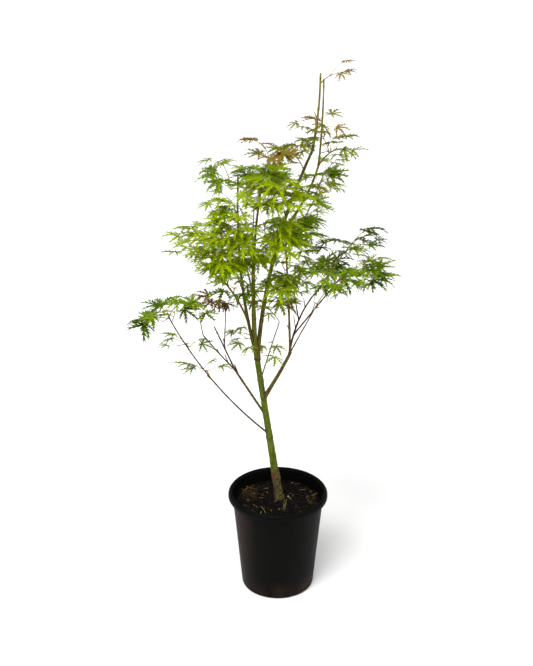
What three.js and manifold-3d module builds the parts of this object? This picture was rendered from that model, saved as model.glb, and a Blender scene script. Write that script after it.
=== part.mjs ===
// A young cut-leaved maple in a round nursery pot: a leaning trunk, thin upright limbs,
// and loose sprays of deeply divided leaves. Millimetres, +Z up, origin at the centre of
// the pot's flat underside. Angles are in degrees: a heading is turned from +X towards +Y,
// and a rise is measured up from level.
import * as THREE from "three";
import { mergeVertices } from "three/addons/utils/BufferGeometryUtils.js";
import Module from "manifold-3d";

const wasm = await Module();
wasm.setup();

// ---- Driving dimensions ----
const GAP = 0.3; // kept between pieces that touch
const FINEST = 1e-3; // corners nearer than this are one
const POT = {
  height: 212,
  rimRadius: 100,
  wallTopRadius: 91,
  baseRadius: 73,
  wall: 2,
  floor: 3,
  lipDepth: 12,
  corner: 4, // rounding at the foot
  sides: 28,
};
// Notches in the foot that let water out.
const DRAIN = { count: 6, width: 17, height: 7, depth: 24, firstHeading: -120 };
const COMPOST = { top: 190, edgeDrop: 4, flatRadius: 32 };
const TRUNK = {
  foot: [3, 8],
  length: 330,
  rise: [82, 82],
  heading: [180, 180],
  thick: [16, 10.5],
  flare: 3.2, // extra radius at the ground
  flareHeight: 14,
  graft: 1.3, // extra radius of the swelling where the stock was grafted
  graftHeight: 52,
  graftSpread: 12,
  sides: 10,
  steps: 14,
};
const LIMB = { sides: 6, step: 36 };

const TIP = Infinity; // a place past the end of a limb, which is taken as its tip

// Each limb: its name, its parent, how far along that it leaves, its length, its rise and
// heading from first to last, between which its direction turns evenly, and its diameters.
const LIMBS = [
  ["low_left_bough", "trunk", 150, 350, [45, 65], [200, 200], [3.6, 2.2]],
  ["low_left_side_shoot", "low_left_bough", 140, 50, [50, 25], [160, 145], [1.9, 1.6]],
  ["left_bough", "trunk", 190, 135, [60, 60], [205, 210], [5, 4.2]],
  ["left_outer_bough", "left_bough", TIP, 100, [50, 55], [190, 195], [3, 2.4]],
  ["left_inner_bough", "left_bough", TIP, 95, [65, 65], [165, 165], [3.4, 2.6]],
  ["red_shoot", "left_inner_bough", 50, 85, [70, 70], [80, 90], [2.4, 2]],
  ["right_bough", "trunk", 230, 125, [60, 65], [-25, -30], [8, 6.2]],
  ["right_upright", "right_bough", TIP, 225, [75, 80], [95, 110], [5, 3.4]],
  ["right_red_bough", "right_bough", 120, 140, [70, 45], [65, 20], [4.2, 2.8]],
  ["right_red_shoot", "right_red_bough", 70, 85, [45, 60], [105, 100], [2.6, 2.2]],
  ["right_outer_bough", "right_red_bough", 40, 180, [55, 55], [-25, -25], [3.3, 2.4]],
  ["right_under_bough", "right_bough", 115, 145, [55, 60], [-65, -45], [3, 2.2]],
  ["purple_shoot", "trunk", 270, 120, [55, 60], [60, 50], [2.5, 2]],
  ["left_limb", "trunk", 320, 360, [75, 85], [165, 75], [7.2, 2.8]],
  ["left_outer_limb", "left_limb", 75, 95, [70, 55], [195, 190], [4.4, 3.4]],
  ["left_far_bough", "left_outer_limb", TIP, 70, [45, 45], [210, 205], [2.8, 2.2]],
  ["centre_limb", "trunk", TIP, 400, [85, 75], [-120, -40], [7.4, 3]],
  ["right_limb", "trunk", 315, 425, [85, 65], [35, 10], [9, 5]],
  ["right_leader", "right_limb", TIP, 145, [80, 90], [0, 0], [4.8, 3.6]],
  ["inner_limb", "right_limb", 260, 150, [50, 75], [0, -5], [5, 4]],
  ["inner_leader", "inner_limb", TIP, 160, [85, 90], [-10, 0], [3.9, 3]],
  ["thin_right_shoot", "right_upright", 180, 135, [60, 50], [45, 40], [3, 2.2]],
  ["front_limb", "centre_limb", 120, 150, [65, 55], [-110, -100], [4, 2.6]],
  ["back_limb", "left_limb", 30, 260, [75, 50], [95, 85], [4.4, 2.4]],
].map(([name, on, at, length, rise, heading, thick]) => ({ name, on, at, length, rise, heading, thick }));

// Each spray: its name, its limb, where on that its stem starts, the stem's length, rise and
// heading, its pairs of leaves, the length of a leaf and the seed of its chance numbers.
const SPRAYS = [
  ["far_left_spray", "low_left_bough", 340, 15, [75, 75], [180, 180], 2, 46, 4],
  ["low_left_spray", "low_left_bough", 190, 15, [70, 70], [180, 180], 1, 34, 5],
  ["low_left_side_spray", "low_left_bough", 265, 15, [70, 70], [180, 180], 1, 32, 7],
  ["left_low_spray", "left_outer_bough", TIP, 35, [80, 60], [150, 90], 1, 36, 9],
  ["red_leaf_spray", "red_shoot", TIP, 20, [-30, -40], [190, 200], 2, 32, 11],
  ["purple_spray", "purple_shoot", TIP, 45, [55, 40], [150, 190], 2, 38, 17],
  ["left_tip_spray", "left_far_bough", TIP, 40, [75, 50], [205, 195], 2, 36, 21],
  ["left_lower_spray", "left_outer_limb", 65, 50, [50, 25], [270, 280], 2, 38, 21],
  ["left_mid_spray", "left_limb", 130, 140, [65, 40], [130, 160], 3, 44, 22],
  ["upper_left_spray", "left_limb", 345, 25, [20, -10], [200, 200], 2, 40, 23],
  ["left_high_spray", "left_limb", 285, 60, [30, 0], [270, 265], 2, 42, 25],
  ["inner_high_spray", "left_limb", 310, 70, [30, 5], [50, 40], 3, 42, 28],
  ["top_centre_spray", "centre_limb", TIP, 20, [60, 40], [0, -20], 2, 38, 29],
  ["centre_high_spray", "centre_limb", 330, 75, [30, 5], [-70, -60], 3, 44, 31],
  ["front_spray", "front_limb", TIP, 60, [55, 20], [-100, -110], 3, 44, 33],
  ["front_left_spray", "front_limb", 90, 85, [35, 10], [235, 230], 3, 44, 35],
  ["centre_spray", "centre_limb", 245, 90, [35, 5], [-65, -60], 3, 44, 37],
  ["right_high_spray", "thin_right_shoot", TIP, 40, [40, 0], [90, 60], 3, 38, 39],
  ["right_mid_spray", "right_upright", TIP, 50, [45, 0], [-55, -60], 3, 42, 41],
  ["leader_left_spray", "right_limb", 385, 50, [60, 40], [-110, -150], 2, 36, 43],
  ["leader_mid_spray", "inner_leader", 60, 20, [60, 40], [-90, -90], 2, 32, 45],
  ["leader_right_spray", "inner_limb", TIP, 50, [60, 30], [-20, -20], 2, 34, 47],
  ["leader_low_spray", "inner_limb", 100, 35, [35, 5], [-80, -80], 2, 32, 49],
  ["leader_top_spray", "right_leader", 125, 25, [60, 20], [0, 0], 1, 24, 51],
  ["right_top_spray", "right_red_bough", TIP, 115, [55, 50], [20, 15], 3, 42, 53],
  ["right_far_spray", "right_outer_bough", TIP, 45, [-5, -25], [-5, 0], 3, 40, 56],
  ["right_near_spray", "right_under_bough", TIP, 105, [65, 40], [-45, -40], 3, 44, 57],
  ["right_inner_spray", "right_red_shoot", TIP, 60, [20, -10], [20, 0], 3, 44, 60],
  ["centre_low_spray", "right_upright", 130, 85, [40, 10], [-95, -100], 3, 42, 62],
  ["back_spray", "back_limb", TIP, 70, [45, 10], [70, 60], 3, 46, 63],
  ["back_right_spray", "right_limb", 150, 200, [60, 20], [60, 65], 3, 48, 66],
  ["centre_left_spray", "centre_limb", 260, 55, [50, 20], [220, 230], 3, 44, 67],
  ["low_centre_spray", "centre_limb", 160, 90, [60, 30], [-110, -120], 3, 44, 70],
].map(([name, on, at, length, rise, heading, pairs, leaf, seed]) => (
  { name, on, at, length, rise, heading, pairs, leaf, seed }));
const TWIG = {
  thick: [3, 2.2],
  nodes: [0.35, 0.92], // the stretch of the stem that bears leaves
  spread: 20, // how far a pair may be turned from square to the pair before
  forward: 0.6, // how much a pair leans towards the stem's tip
};
const LEAF = {
  stalk: 32,
  stalkRange: [0.8, 1.25],
  sizeRange: [1.1, 0.85],
  lift: [-5, 50], // how far the stalk rises
  hang: [5, 35], // how far the blade points down
  roll: 25,
  overshoot: 12, // how far the stalk runs on past the middle of its twig
  thick: 2.2,
  droop: 0.34, // how far the tips curve down, as a share of the leaf
  valley: 0.3, // how near the middle the cuts between lobes reach, as a share of the leaf
  notch: 6, // how far the blade reaches back along its stalk
  shoulder: [155, 0.14], // the turn and reach of the last cuts, on both sides of the stalk
};
const LOBES = [
  { turn: 0, length: 1 },
  { turn: 40, length: 0.94 },
  { turn: 84, length: 0.74 },
];
const TRIES = 14; // places a leaf tries before it is left out
const SWING = [15, 5]; // how far off its side a leaf may turn, at first and more at each try
const SHRINK = 0.02; // how much smaller it gets at each try
const SHARED = 14; // how far a spray may reach past the middle between its stem and the next
const COLOURS = {
  pot: 0x1d1d1c,
  compost: 0x1c120b,
  bark: 0x5c6f1e,
  redBark: 0x5a3526,
  leaf: 0x4f8a12,
  redLeaf: 0x74391f,
};

// ---- Directions and paths ----
const radians = THREE.MathUtils.degToRad;
const mix = THREE.MathUtils.lerp;
const headingOf = (v) => THREE.MathUtils.radToDeg(Math.atan2(v.y, v.x));
const taper = ([first, last], length) => (s) => mix(first, last, s / length) / 2;

function directionOf(rise, heading) {
  const r = radians(rise);
  const h = radians(heading);
  return new THREE.Vector3(Math.cos(r) * Math.cos(h), Math.cos(r) * Math.sin(h), Math.sin(r));
}

// A path of even steps. Each frame holds its point, its direction, the level direction
// across it and the one square to both.
function growPath(start, length, rise, heading, steps) {
  const frameAt = (t, point) => {
    const forward = directionOf(mix(...rise, t), mix(...heading, t));
    const across = directionOf(0, mix(...heading, t) + 90);
    return { point, forward, across, over: new THREE.Vector3().crossVectors(forward, across) };
  };
  const frames = [frameAt(0, start.clone())];
  for (let i = 0; i < steps; i += 1) {
    const t = (i + 0.5) / steps;
    const middle = directionOf(mix(...rise, t), mix(...heading, t));
    const point = frames[i].point.clone().addScaledVector(middle, length / steps);
    frames.push(frameAt((i + 1) / steps, point));
  }
  return { frames, length };
}

function frameOn(path, distance) {
  const steps = path.frames.length - 1;
  const place = THREE.MathUtils.clamp((distance / path.length) * steps, 0, steps);
  const i = Math.min(Math.floor(place), steps - 1);
  const [a, b] = [path.frames[i], path.frames[i + 1]];
  const between = (key) => a[key].clone().lerp(b[key], place - i);
  return {
    point: between("point"),
    forward: between("forward").normalize(),
    across: between("across").normalize(),
    over: between("over").normalize(),
  };
}

function distanceTo(path, point) {
  const line = new THREE.Line3();
  const near = new THREE.Vector3();
  let best = Infinity;
  for (let i = 0; i + 1 < path.frames.length; i += 1) {
    line.set(path.frames[i].point, path.frames[i + 1].point);
    best = Math.min(best, line.closestPointToPoint(point, true, near).distanceTo(point));
  }
  return best;
}

// Evenly spread numbers from 0 to 1, the same ones for the same seed.
function seeded(seed) {
  let state = seed * 7919;
  return () => {
    state = (Math.imul(state, 1664525) + 1013904223) >>> 0;
    return state / 4294967296;
  };
}

// ---- Solids ----
function solidOf(geometry) {
  const bare = geometry.clone();
  bare.deleteAttribute("normal");
  bare.deleteAttribute("uv");
  const merged = mergeVertices(bare, FINEST);
  return new wasm.Manifold(
    new wasm.Mesh({
      numProp: 3,
      vertProperties: new Float32Array(merged.attributes.position.array),
      triVerts: new Uint32Array(merged.index.array),
    }),
  );
}

function geometryOf(solid) {
  const mesh = solid.getMesh();
  const position = new Float32Array(mesh.numVert * 3);
  for (let i = 0; i < mesh.numVert; i += 1) {
    position.set(mesh.vertProperties.subarray(i * mesh.numProp, i * mesh.numProp + 3), i * 3);
  }
  const geometry = new THREE.BufferGeometry();
  geometry.setAttribute("position", new THREE.BufferAttribute(position, 3));
  geometry.setIndex(new THREE.BufferAttribute(new Uint32Array(mesh.triVerts), 1));
  geometry.computeVertexNormals();
  return geometry;
}

// The largest body of a cut solid, once its nearest corners are one.
function mainBody(solid) {
  const largest = (bodies) => bodies.reduce((best, body) => (body.volume() > best.volume() ? body : best));
  const cut = largest(solid.decompose());
  return largest(solidOf(geometryOf(cut)).decompose());
}

function touches(a, b) {
  return [0, 1, 2].every((k) => a.min[k] <= b.max[k] && b.min[k] <= a.max[k]);
}

function meets(solid, others) {
  const box = solid.boundingBox();
  return others.some((other) => touches(box, other.boundingBox()) && !solid.intersect(other).isEmpty());
}

function turned(profile) {
  const body = new THREE.LatheGeometry(profile.map(([r, z]) => new THREE.Vector2(r, z)), POT.sides);
  return body.rotateX(Math.PI / 2);
}

// A cylinder bent along a path, with a radius for each distance.
function bentRod(path, radiusAt, sides) {
  const steps = path.frames.length - 1;
  const rod = new THREE.CylinderGeometry(1, 1, 1, sides, steps);
  const position = rod.attributes.position;
  const vertex = new THREE.Vector3();
  for (let i = 0; i < position.count; i += 1) {
    vertex.fromBufferAttribute(position, i);
    const step = Math.round((vertex.y + 0.5) * steps);
    const { point, across, over } = path.frames[step];
    const radius = radiusAt((step / steps) * path.length);
    const moved = point.clone()
      .addScaledVector(over, vertex.x * radius)
      .addScaledVector(across, vertex.z * radius);
    position.setXYZ(i, moved.x, moved.y, moved.z);
  }
  return rod;
}

// ---- Pot and compost ----
const wallRadius = (z) => mix(POT.baseRadius, POT.wallTopRadius, z / (POT.height - POT.lipDepth));

// A thin wall with a rim rolled over and down, and notches cut in the foot.
function potSolid() {
  const { height: h, rimRadius: rim, wallTopRadius: top, baseRadius: base, wall, floor, corner } = POT;
  const lip = h - POT.lipDepth;
  const outside = [[0, 0], [base - corner, 0], [base - 1, corner / 3], [base, corner + 1], [top, lip]];
  const underRim = [[top + 1, h - 5], [top + 3.2, h - wall - 0.6], [rim - 4, h - wall - 0.8],
    [rim - wall, h - 5], [rim - wall, lip]];
  const overRim = [[rim, lip], [rim, h - 4], [rim - 3, h - 0.8], [rim - 6, h], [top + 1, h - 1],
    [top - 1, h - 4]];
  const inside = [[top - wall, lip], [base - wall, floor + 2], [base - wall - 2, floor], [0, floor]];
  let solid = solidOf(turned([...outside, ...underRim, ...overRim, ...inside]));
  for (let i = 0; i < DRAIN.count; i += 1) {
    const notch = new THREE.BoxGeometry(DRAIN.depth, DRAIN.width, DRAIN.height);
    notch.translate(base, 0, DRAIN.height / 2 - 0.5);
    notch.rotateZ(radians(DRAIN.firstHeading + (360 * i) / DRAIN.count));
    solid = solid.subtract(solidOf(notch));
  }
  return mainBody(solid);
}

function compostGeometry() {
  const low = POT.floor + GAP;
  const clear = POT.wall + 3 * GAP;
  const edge = COMPOST.top - COMPOST.edgeDrop;
  return turned([
    [0, low],
    [wallRadius(0) - clear - 3, low],
    [wallRadius(0) - clear, low + 4],
    [wallRadius(edge) - clear, edge],
    [COMPOST.flatRadius, COMPOST.top],
    [0, COMPOST.top],
  ]);
}

// ---- Trunk and limbs ----
const ground = COMPOST.top + GAP;
const paths = new Map();
const radiusOf = new Map();

function trunkRadius(s) {
  const flare = TRUNK.flare * Math.exp(-s / TRUNK.flareHeight);
  const swelling = TRUNK.graft * Math.exp(-(((s - TRUNK.graftHeight) / TRUNK.graftSpread) ** 2));
  return taper(TRUNK.thick, TRUNK.length)(s) + flare + swelling;
}

const foot = new THREE.Vector3(...TRUNK.foot, ground - 1.5);
paths.set("trunk", growPath(foot, TRUNK.length, TRUNK.rise, TRUNK.heading, TRUNK.steps));
radiusOf.set("trunk", trunkRadius);
for (const { name, on, at, length, rise, heading, thick } of LIMBS) {
  const steps = Math.max(2, Math.round(length / LIMB.step));
  paths.set(name, growPath(frameOn(paths.get(on), at).point, length, rise, heading, steps));
  radiusOf.set(name, taper(thick, length));
}

function limbSolid(name, grow) {
  const sides = name === "trunk" ? TRUNK.sides : LIMB.sides;
  const rod = bentRod(paths.get(name), (s) => radiusOf.get(name)(s) + grow, sides);
  if (name === "trunk") {
    const position = rod.attributes.position;
    for (let i = 0; i < position.count; i += 1) {
      position.setZ(i, Math.max(position.getZ(i), ground)); // the flat cut on the compost
    }
  }
  return solidOf(rod);
}

// Each limb is cut clear of the ones before it, which are kept a little thicker for that.
const thickened = new Map();
const limbSolids = new Map();
for (const name of paths.keys()) {
  const whole = limbSolid(name, 0);
  const near = [...thickened.values()].filter((other) => touches(whole.boundingBox(), other.boundingBox()));
  limbSolids.set(name, mainBody(near.reduce((rest, other) => rest.subtract(other), whole)));
  thickened.set(name, limbSolid(name, 1.5 * GAP));
}

// ---- Sprays of leaves ----
const stems = new Map();
const twigs = new Map();
for (const { name, on, at, length, rise, heading } of SPRAYS) {
  const stem = growPath(frameOn(paths.get(on), at).point, length, rise, heading, 2);
  stems.set(name, stem);
  twigs.set(name, solidOf(bentRod(stem, taper(TWIG.thick, length), 3)));
}

// The outline of a leaf of unit length, from the cut beside its stalk round to the other one:
// a cut before each lobe and the lobe's tip.
function leafOutline() {
  const lobes = [...LOBES.slice(1).reverse().map((lobe) => ({ ...lobe, turn: -lobe.turn })), ...LOBES];
  const at = (turn, out) => [Math.cos(radians(turn)) * out, Math.sin(radians(turn)) * out];
  const [turn, reach] = LEAF.shoulder;
  const ring = lobes.flatMap((lobe, i) => {
    const cut = i === 0 ? at(-turn, reach) : at((lobes[i - 1].turn + lobe.turn) / 2, LEAF.valley);
    return [cut, at(lobe.turn, lobe.length)];
  });
  return [...ring, at(turn, reach)];
}
const OUTLINE = leafOutline();

// A leaf is a flat double cone whose ring is pulled out into the outline, hanging towards its
// tips. The ring's last corner is drawn back along the stalk to the root.
function leafSolid({ base, forward, normal, size }, root, grow) {
  const side = new THREE.Vector3().crossVectors(normal, forward);
  const count = OUTLINE.length + 1;
  const cone = new THREE.ConeGeometry(1, 2, count);
  const position = cone.attributes.position;
  const vertex = new THREE.Vector3();
  for (let i = 0; i < position.count; i += 1) {
    vertex.fromBufferAttribute(position, i);
    const moved = base.clone();
    const turn = Math.round((Math.atan2(vertex.x, vertex.z) / (2 * Math.PI)) * count);
    const corner = OUTLINE[(turn + count) % count];
    if (Math.hypot(vertex.x, vertex.z) < 0.5) {
      moved.addScaledVector(normal, (Math.sign(vertex.y) * (LEAF.thick + grow)) / 2);
    } else if (corner) {
      const [x, y] = corner.map((share) => share * (size + grow));
      moved.addScaledVector(forward, x)
        .addScaledVector(side, y)
        .addScaledVector(normal, (-LEAF.droop * (x * x + y * y)) / (size + grow));
    } else {
      moved.copy(root);
    }
    position.setXYZ(i, moved.x, moved.y, moved.z);
  }
  return solidOf(cone);
}

// Whether every corner of a blade lies nearer to its own stem than to any other, or nearly so.
function keepsItsSpace(spray, blade) {
  const { vertProperties: corners, numProp } = blade.getMesh();
  for (let i = 0; i < corners.length; i += numProp) {
    const point = new THREE.Vector3(corners[i], corners[i + 1], corners[i + 2]);
    const own = distanceTo(stems.get(spray), point);
    for (const [other, stem] of stems) {
      if (other !== spray && distanceTo(stem, point) < own - 2 * SHARED) return false;
    }
  }
  return true;
}

const foliage = []; // every leaf so far: its spray, its solid and its blade without the stalk

// One leaf on its stalk: it tries a few places, and is left out if none is free.
function growLeaf(spray, node, heading, random) {
  const otherThan = (name, solids) => [...solids].filter(([key]) => key !== name).map(([, solid]) => solid);
  const wood = [...otherThan(spray.on, thickened), ...otherThan(spray.name, twigs)];
  for (let i = 0; i < TRIES; i += 1) {
    const size = spray.leaf * mix(...LEAF.sizeRange, random()) * (1 - SHRINK * i);
    const swing = SWING[0] + SWING[1] * i;
    const turn = heading + mix(-swing, swing, random());
    const stalk = directionOf(mix(...LEAF.lift, random()), turn);
    const base = node.clone().addScaledVector(stalk, mix(...LEAF.stalkRange, random()) * LEAF.stalk);
    const forward = directionOf(-mix(...LEAF.hang, random()), turn);
    const normal = new THREE.Vector3().crossVectors(forward, directionOf(0, turn + 90))
      .applyAxisAngle(forward, radians(mix(-LEAF.roll, LEAF.roll, random())));
    const leaf = { base, forward, normal, size };
    const blade = leafSolid(leaf, base.clone().addScaledVector(stalk, -LEAF.notch), 2 * GAP);
    if (!keepsItsSpace(spray.name, blade)) continue;
    if (meets(blade, foliage.map((other) => other.solid))) continue;
    const root = node.clone().addScaledVector(stalk, -LEAF.overshoot);
    const whole = leafSolid(leaf, root, 2 * GAP);
    const near = foliage.map((other) => (other.spray === spray.name ? other.blade : other.solid));
    if (meets(whole, [...wood, ...near])) continue;
    foliage.push({ spray: spray.name, solid: leafSolid(leaf, root, 0), blade });
    return;
  }
}

// A stem with pairs of leaves, each pair turned a quarter from the last, and one leaf at its end.
function growSpray(spray) {
  const random = seeded(spray.seed);
  const stem = stems.get(spray.name);
  for (let pair = 1; pair <= spray.pairs; pair += 1) {
    const node = frameOn(stem, stem.length * mix(...TWIG.nodes, pair / spray.pairs));
    const spin = radians(90 * pair + mix(-TWIG.spread, TWIG.spread, random()));
    for (const side of [1, -1]) {
      const out = node.across.clone().multiplyScalar(Math.cos(spin) * side)
        .addScaledVector(node.over, Math.sin(spin) * side)
        .addScaledVector(node.forward, TWIG.forward);
      growLeaf(spray, node.point, headingOf(out), random);
    }
  }
  const end = frameOn(stem, stem.length - TWIG.thick[0]);
  growLeaf(spray, end.point, headingOf(end.forward), random);
}

// The leaves of a spray fused on its stem, cut clear of the limbs.
function spraySolid({ name }) {
  const leaves = foliage.filter((leaf) => leaf.spray === name);
  const whole = leaves.reduce((all, leaf) => all.add(leaf.solid), twigs.get(name));
  return mainBody([...thickened.values()].reduce((rest, limb) => rest.subtract(limb), whole));
}

// ---- The plant ----
const plant = new THREE.Group();

function place(name, geometry, color, roughness) {
  const material = new THREE.MeshStandardMaterial({ color, roughness, metalness: 0 });
  const mesh = new THREE.Mesh(geometry, material);
  mesh.name = name;
  plant.add(mesh);
}

place("pot", geometryOf(potSolid()), COLOURS.pot, 0.5);
place("compost", compostGeometry(), COLOURS.compost, 0.95);
for (const [name, solid] of limbSolids) {
  place(name, geometryOf(solid), /red|purple/.test(name) ? COLOURS.redBark : COLOURS.bark, 0.7);
}
SPRAYS.forEach(growSpray);
for (const spray of SPRAYS) {
  const color = spray.name.startsWith("red") ? COLOURS.redLeaf : COLOURS.leaf;
  place(spray.name, geometryOf(spraySolid(spray)), color, 0.6);
}

export default plant;
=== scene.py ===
# %% [markdown]
# # A young cut-leaved maple in a nursery pot
# The real plant is a grafted garden maple, about three years old and a little over a metre tall, as it
# stands in a nursery: a black blow-moulded pot, dark bark compost, a leaning green trunk, thin upright limbs
# and loose sprays of finely divided leaves. Its solids are already settled, so each piece below is made in
# their frame and stands for one or more of them. Lengths are in millimetres and angles in degrees until a
# mesh is made.

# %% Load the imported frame
import math

import bpy
import numpy as np
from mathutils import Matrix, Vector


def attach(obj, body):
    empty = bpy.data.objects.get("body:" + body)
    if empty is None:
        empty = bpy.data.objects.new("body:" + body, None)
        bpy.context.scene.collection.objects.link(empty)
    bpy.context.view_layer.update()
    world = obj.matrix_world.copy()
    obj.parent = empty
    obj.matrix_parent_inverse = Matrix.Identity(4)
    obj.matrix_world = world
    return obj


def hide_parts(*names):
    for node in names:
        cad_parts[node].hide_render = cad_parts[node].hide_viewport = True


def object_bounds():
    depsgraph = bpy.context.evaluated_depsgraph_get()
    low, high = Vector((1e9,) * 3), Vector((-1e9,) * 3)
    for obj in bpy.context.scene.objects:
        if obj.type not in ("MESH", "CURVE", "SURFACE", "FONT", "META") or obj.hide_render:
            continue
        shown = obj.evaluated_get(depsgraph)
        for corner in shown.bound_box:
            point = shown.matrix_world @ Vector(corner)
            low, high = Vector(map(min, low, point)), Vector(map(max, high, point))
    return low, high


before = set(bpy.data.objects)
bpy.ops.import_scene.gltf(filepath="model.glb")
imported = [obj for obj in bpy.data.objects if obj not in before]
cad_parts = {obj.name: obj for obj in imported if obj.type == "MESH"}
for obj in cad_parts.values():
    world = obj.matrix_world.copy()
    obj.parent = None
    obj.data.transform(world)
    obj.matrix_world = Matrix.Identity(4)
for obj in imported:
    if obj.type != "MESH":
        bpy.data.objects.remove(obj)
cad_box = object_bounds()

MM = 0.001
print("nodes:", len(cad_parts), "box:", [tuple(round(c, 3) for c in corner) for corner in cad_box])

# %% [markdown]
# ## The camera
# A studio picture of a potted plant is taken from a few metres away with a long lens, a little above the
# crown, so that the compost shows inside the rim. The lens is given by its focal length, and the body is
# pitched down.

# %% Place the camera
CAMERA = dict(place=(-0.023, -2.400, 1.650), pitch=24.4, lens=74.4, sensor=36.0)
lens = bpy.data.cameras.new("camera")
lens.lens = CAMERA["lens"]
lens.sensor_width = CAMERA["sensor"]
camera = bpy.data.objects.new("camera", lens)
camera.location = CAMERA["place"]
camera.rotation_euler = (math.radians(90 - CAMERA["pitch"]), 0, 0)
bpy.context.scene.collection.objects.link(camera)
bpy.context.scene.camera = camera
print("camera", tuple(camera.location), "pitch", CAMERA["pitch"])

# %% [markdown]
# ## Surfaces from arrays
# A stem, a pot wall and a blade of a leaf are all surfaces, so each is worked out as arrays of points and
# faces, and put into a mesh in one go. A skin is such a set of arrays: its points, its faces grouped by
# their number of corners, and fields, which hold one number for each point, such as how brown the bark is
# there. Skins are joined by moving the face indices on.

# %% Skins and meshes
def skin(points, faces, **fields):
    """Points (n, 3) in millimetres, faces as a list of (m, k) index arrays, fields as name -> (n,)
    numbers."""
    points = np.asarray(points, float).reshape(-1, 3)
    spread = {name: np.broadcast_to(np.asarray(v, float), (len(points),)) for name, v in fields.items()}
    return dict(points=points, faces=[np.asarray(f, int) for f in faces], fields=spread)


def joined(skins):
    """One skin from several: points are stacked, and each one's faces moved on by the points before it."""
    first = np.cumsum([0] + [len(s["points"]) for s in skins])
    faces = [f + first[i] for i, s in enumerate(skins) for f in s["faces"]]
    names = sorted({name for s in skins for name in s["fields"]})
    fields = {name: np.concatenate([s["fields"].get(name, np.zeros(len(s["points"]))) for s in skins])
              for name in names}
    return skin(np.concatenate([s["points"] for s in skins]), faces, **fields)


def grid_faces(rows, columns, closed=True):
    """Quads of a grid: corner (i, j), (i, j+1), (i+1, j+1), (i+1, j), with j wrapped round when it is
    closed."""
    i = np.arange(rows - 1)[:, None] * columns
    j = np.arange(columns if closed else columns - 1)[None, :]
    k = (j + 1) % columns
    return np.stack([i + j, i + k, i + k + columns, i + j + columns], -1).reshape(-1, 4)


def closed_skin(rings, start, end, **fields):
    """Rings (rows, columns, 3) joined by quads and closed with a fan to one point at each end. A field is
    given for each ring corner, and takes the mean of the nearest ring at the two closing points."""
    rows, columns = rings.shape[:2]
    j = np.arange(columns)
    k = (j + 1) % columns
    pole, last = rows * columns, (rows - 1) * columns
    fans = np.concatenate([np.stack([np.full(columns, pole), k, j], -1),
                           np.stack([np.full(columns, pole + 1), last + j, last + k], -1)])
    whole = {}
    for name, value in fields.items():
        value = np.broadcast_to(np.asarray(value, float), (rows, columns))
        whole[name] = np.concatenate([value.ravel(), [value[0].mean(), value[-1].mean()]])
    points = np.concatenate([rings.reshape(-1, 3), [start, end]])
    return skin(points, [grid_faces(rows, columns), fans], **whole)


def piece(name, made, material, nodes=(), smooth=True):
    """The skin as a mesh object that rides on the plant's one body and stands for the named nodes."""
    mesh = bpy.data.meshes.new(name)
    sizes = np.concatenate([np.full(len(f), f.shape[1]) for f in made["faces"]])
    corners = np.concatenate([f.ravel() for f in made["faces"]])
    mesh.vertices.add(len(made["points"]))
    mesh.vertices.foreach_set("co", (made["points"] * MM).ravel())
    mesh.loops.add(len(corners))
    mesh.loops.foreach_set("vertex_index", corners)
    mesh.polygons.add(len(sizes))
    mesh.polygons.foreach_set("loop_start", np.concatenate([[0], np.cumsum(sizes)[:-1]]))
    mesh.polygons.foreach_set("use_smooth", np.full(len(sizes), smooth))
    mesh.update(calc_edges=True)
    mesh.validate()
    for field, values in made["fields"].items():
        mesh.attributes.new(field, "FLOAT", "POINT").data.foreach_set("value", values)
    mesh.materials.append(material)
    made_object = bpy.data.objects.new(name, mesh)
    bpy.context.scene.collection.objects.link(made_object)
    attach(made_object, "root")
    if nodes:
        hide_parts(*nodes)
    print(f"{name}: {int((sizes - 2).sum())} triangles, {len(nodes)} nodes")
    return made_object


# %% [markdown]
# ## Unevenness
# Bark, compost and moulded plastic are never quite even. A sum of plane waves in random directions gives a
# smooth field of lumps that has a chosen size and can be evaluated at all points at once.

# %% Lumps
def lumps(points, size, seed, waves=24):
    """Scaled sum over waves of sin(k . p + phase), with |k| near 2 pi / size and random directions: about -1
    to 1."""
    chance = np.random.default_rng(seed)
    points = np.asarray(points, float)
    across = chance.normal(size=(points.shape[-1], waves))
    across *= 2 * np.pi / size * chance.uniform(0.7, 1.4, waves) / np.linalg.norm(across, axis=0)
    return np.sin(points @ across + chance.uniform(0, 2 * np.pi, waves)).sum(-1) / math.sqrt(waves / 2) / 1.6


def eased(x, low, high):
    """0 below low, 1 above high, and the smooth step 3t^2 - 2t^3 between."""
    t = np.clip((np.asarray(x, float) - low) / (high - low), 0, 1)
    return t * t * (3 - 2 * t)


# %% [markdown]
# ## Finishes
# Two effects come back in several materials: grain, a field of fine lumps that may be stretched along one
# axis, and soiling, which lightens or browns a surface in soft patches. Each is a node group that puts out a
# mask or a colour, and the shader itself stays in the material. Numbers that don't change over a surface sit
# on the shader's sockets.

# %% Node helpers and shared groups
def node_in(tree, kind, inputs=None, **settings):
    """A node of that kind with its settings; each input is linked from a socket or given a value."""
    made = tree.nodes.new(kind)
    for key, value in settings.items():
        setattr(made, key, value)
    for key, value in (inputs or {}).items():
        if isinstance(value, bpy.types.NodeSocket):
            tree.links.new(value, made.inputs[key])
        else:
            made.inputs[key].default_value = value
    return made


def new_group(name, inputs, outputs):
    """A node group with named sockets. Colours have four numbers as their default, values have one."""
    tree = bpy.data.node_groups.new(name, "ShaderNodeTree")
    for socket, default in inputs.items():
        kind = "NodeSocketColor" if isinstance(default, tuple) and len(default) == 4 else (
            "NodeSocketVector" if isinstance(default, tuple) else "NodeSocketFloat")
        tree.interface.new_socket(socket, in_out="INPUT", socket_type=kind).default_value = default
    for socket, kind in outputs.items():
        tree.interface.new_socket(socket, in_out="OUTPUT", socket_type=kind)
    return tree, tree.nodes.new("NodeGroupInput"), tree.nodes.new("NodeGroupOutput")


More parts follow.
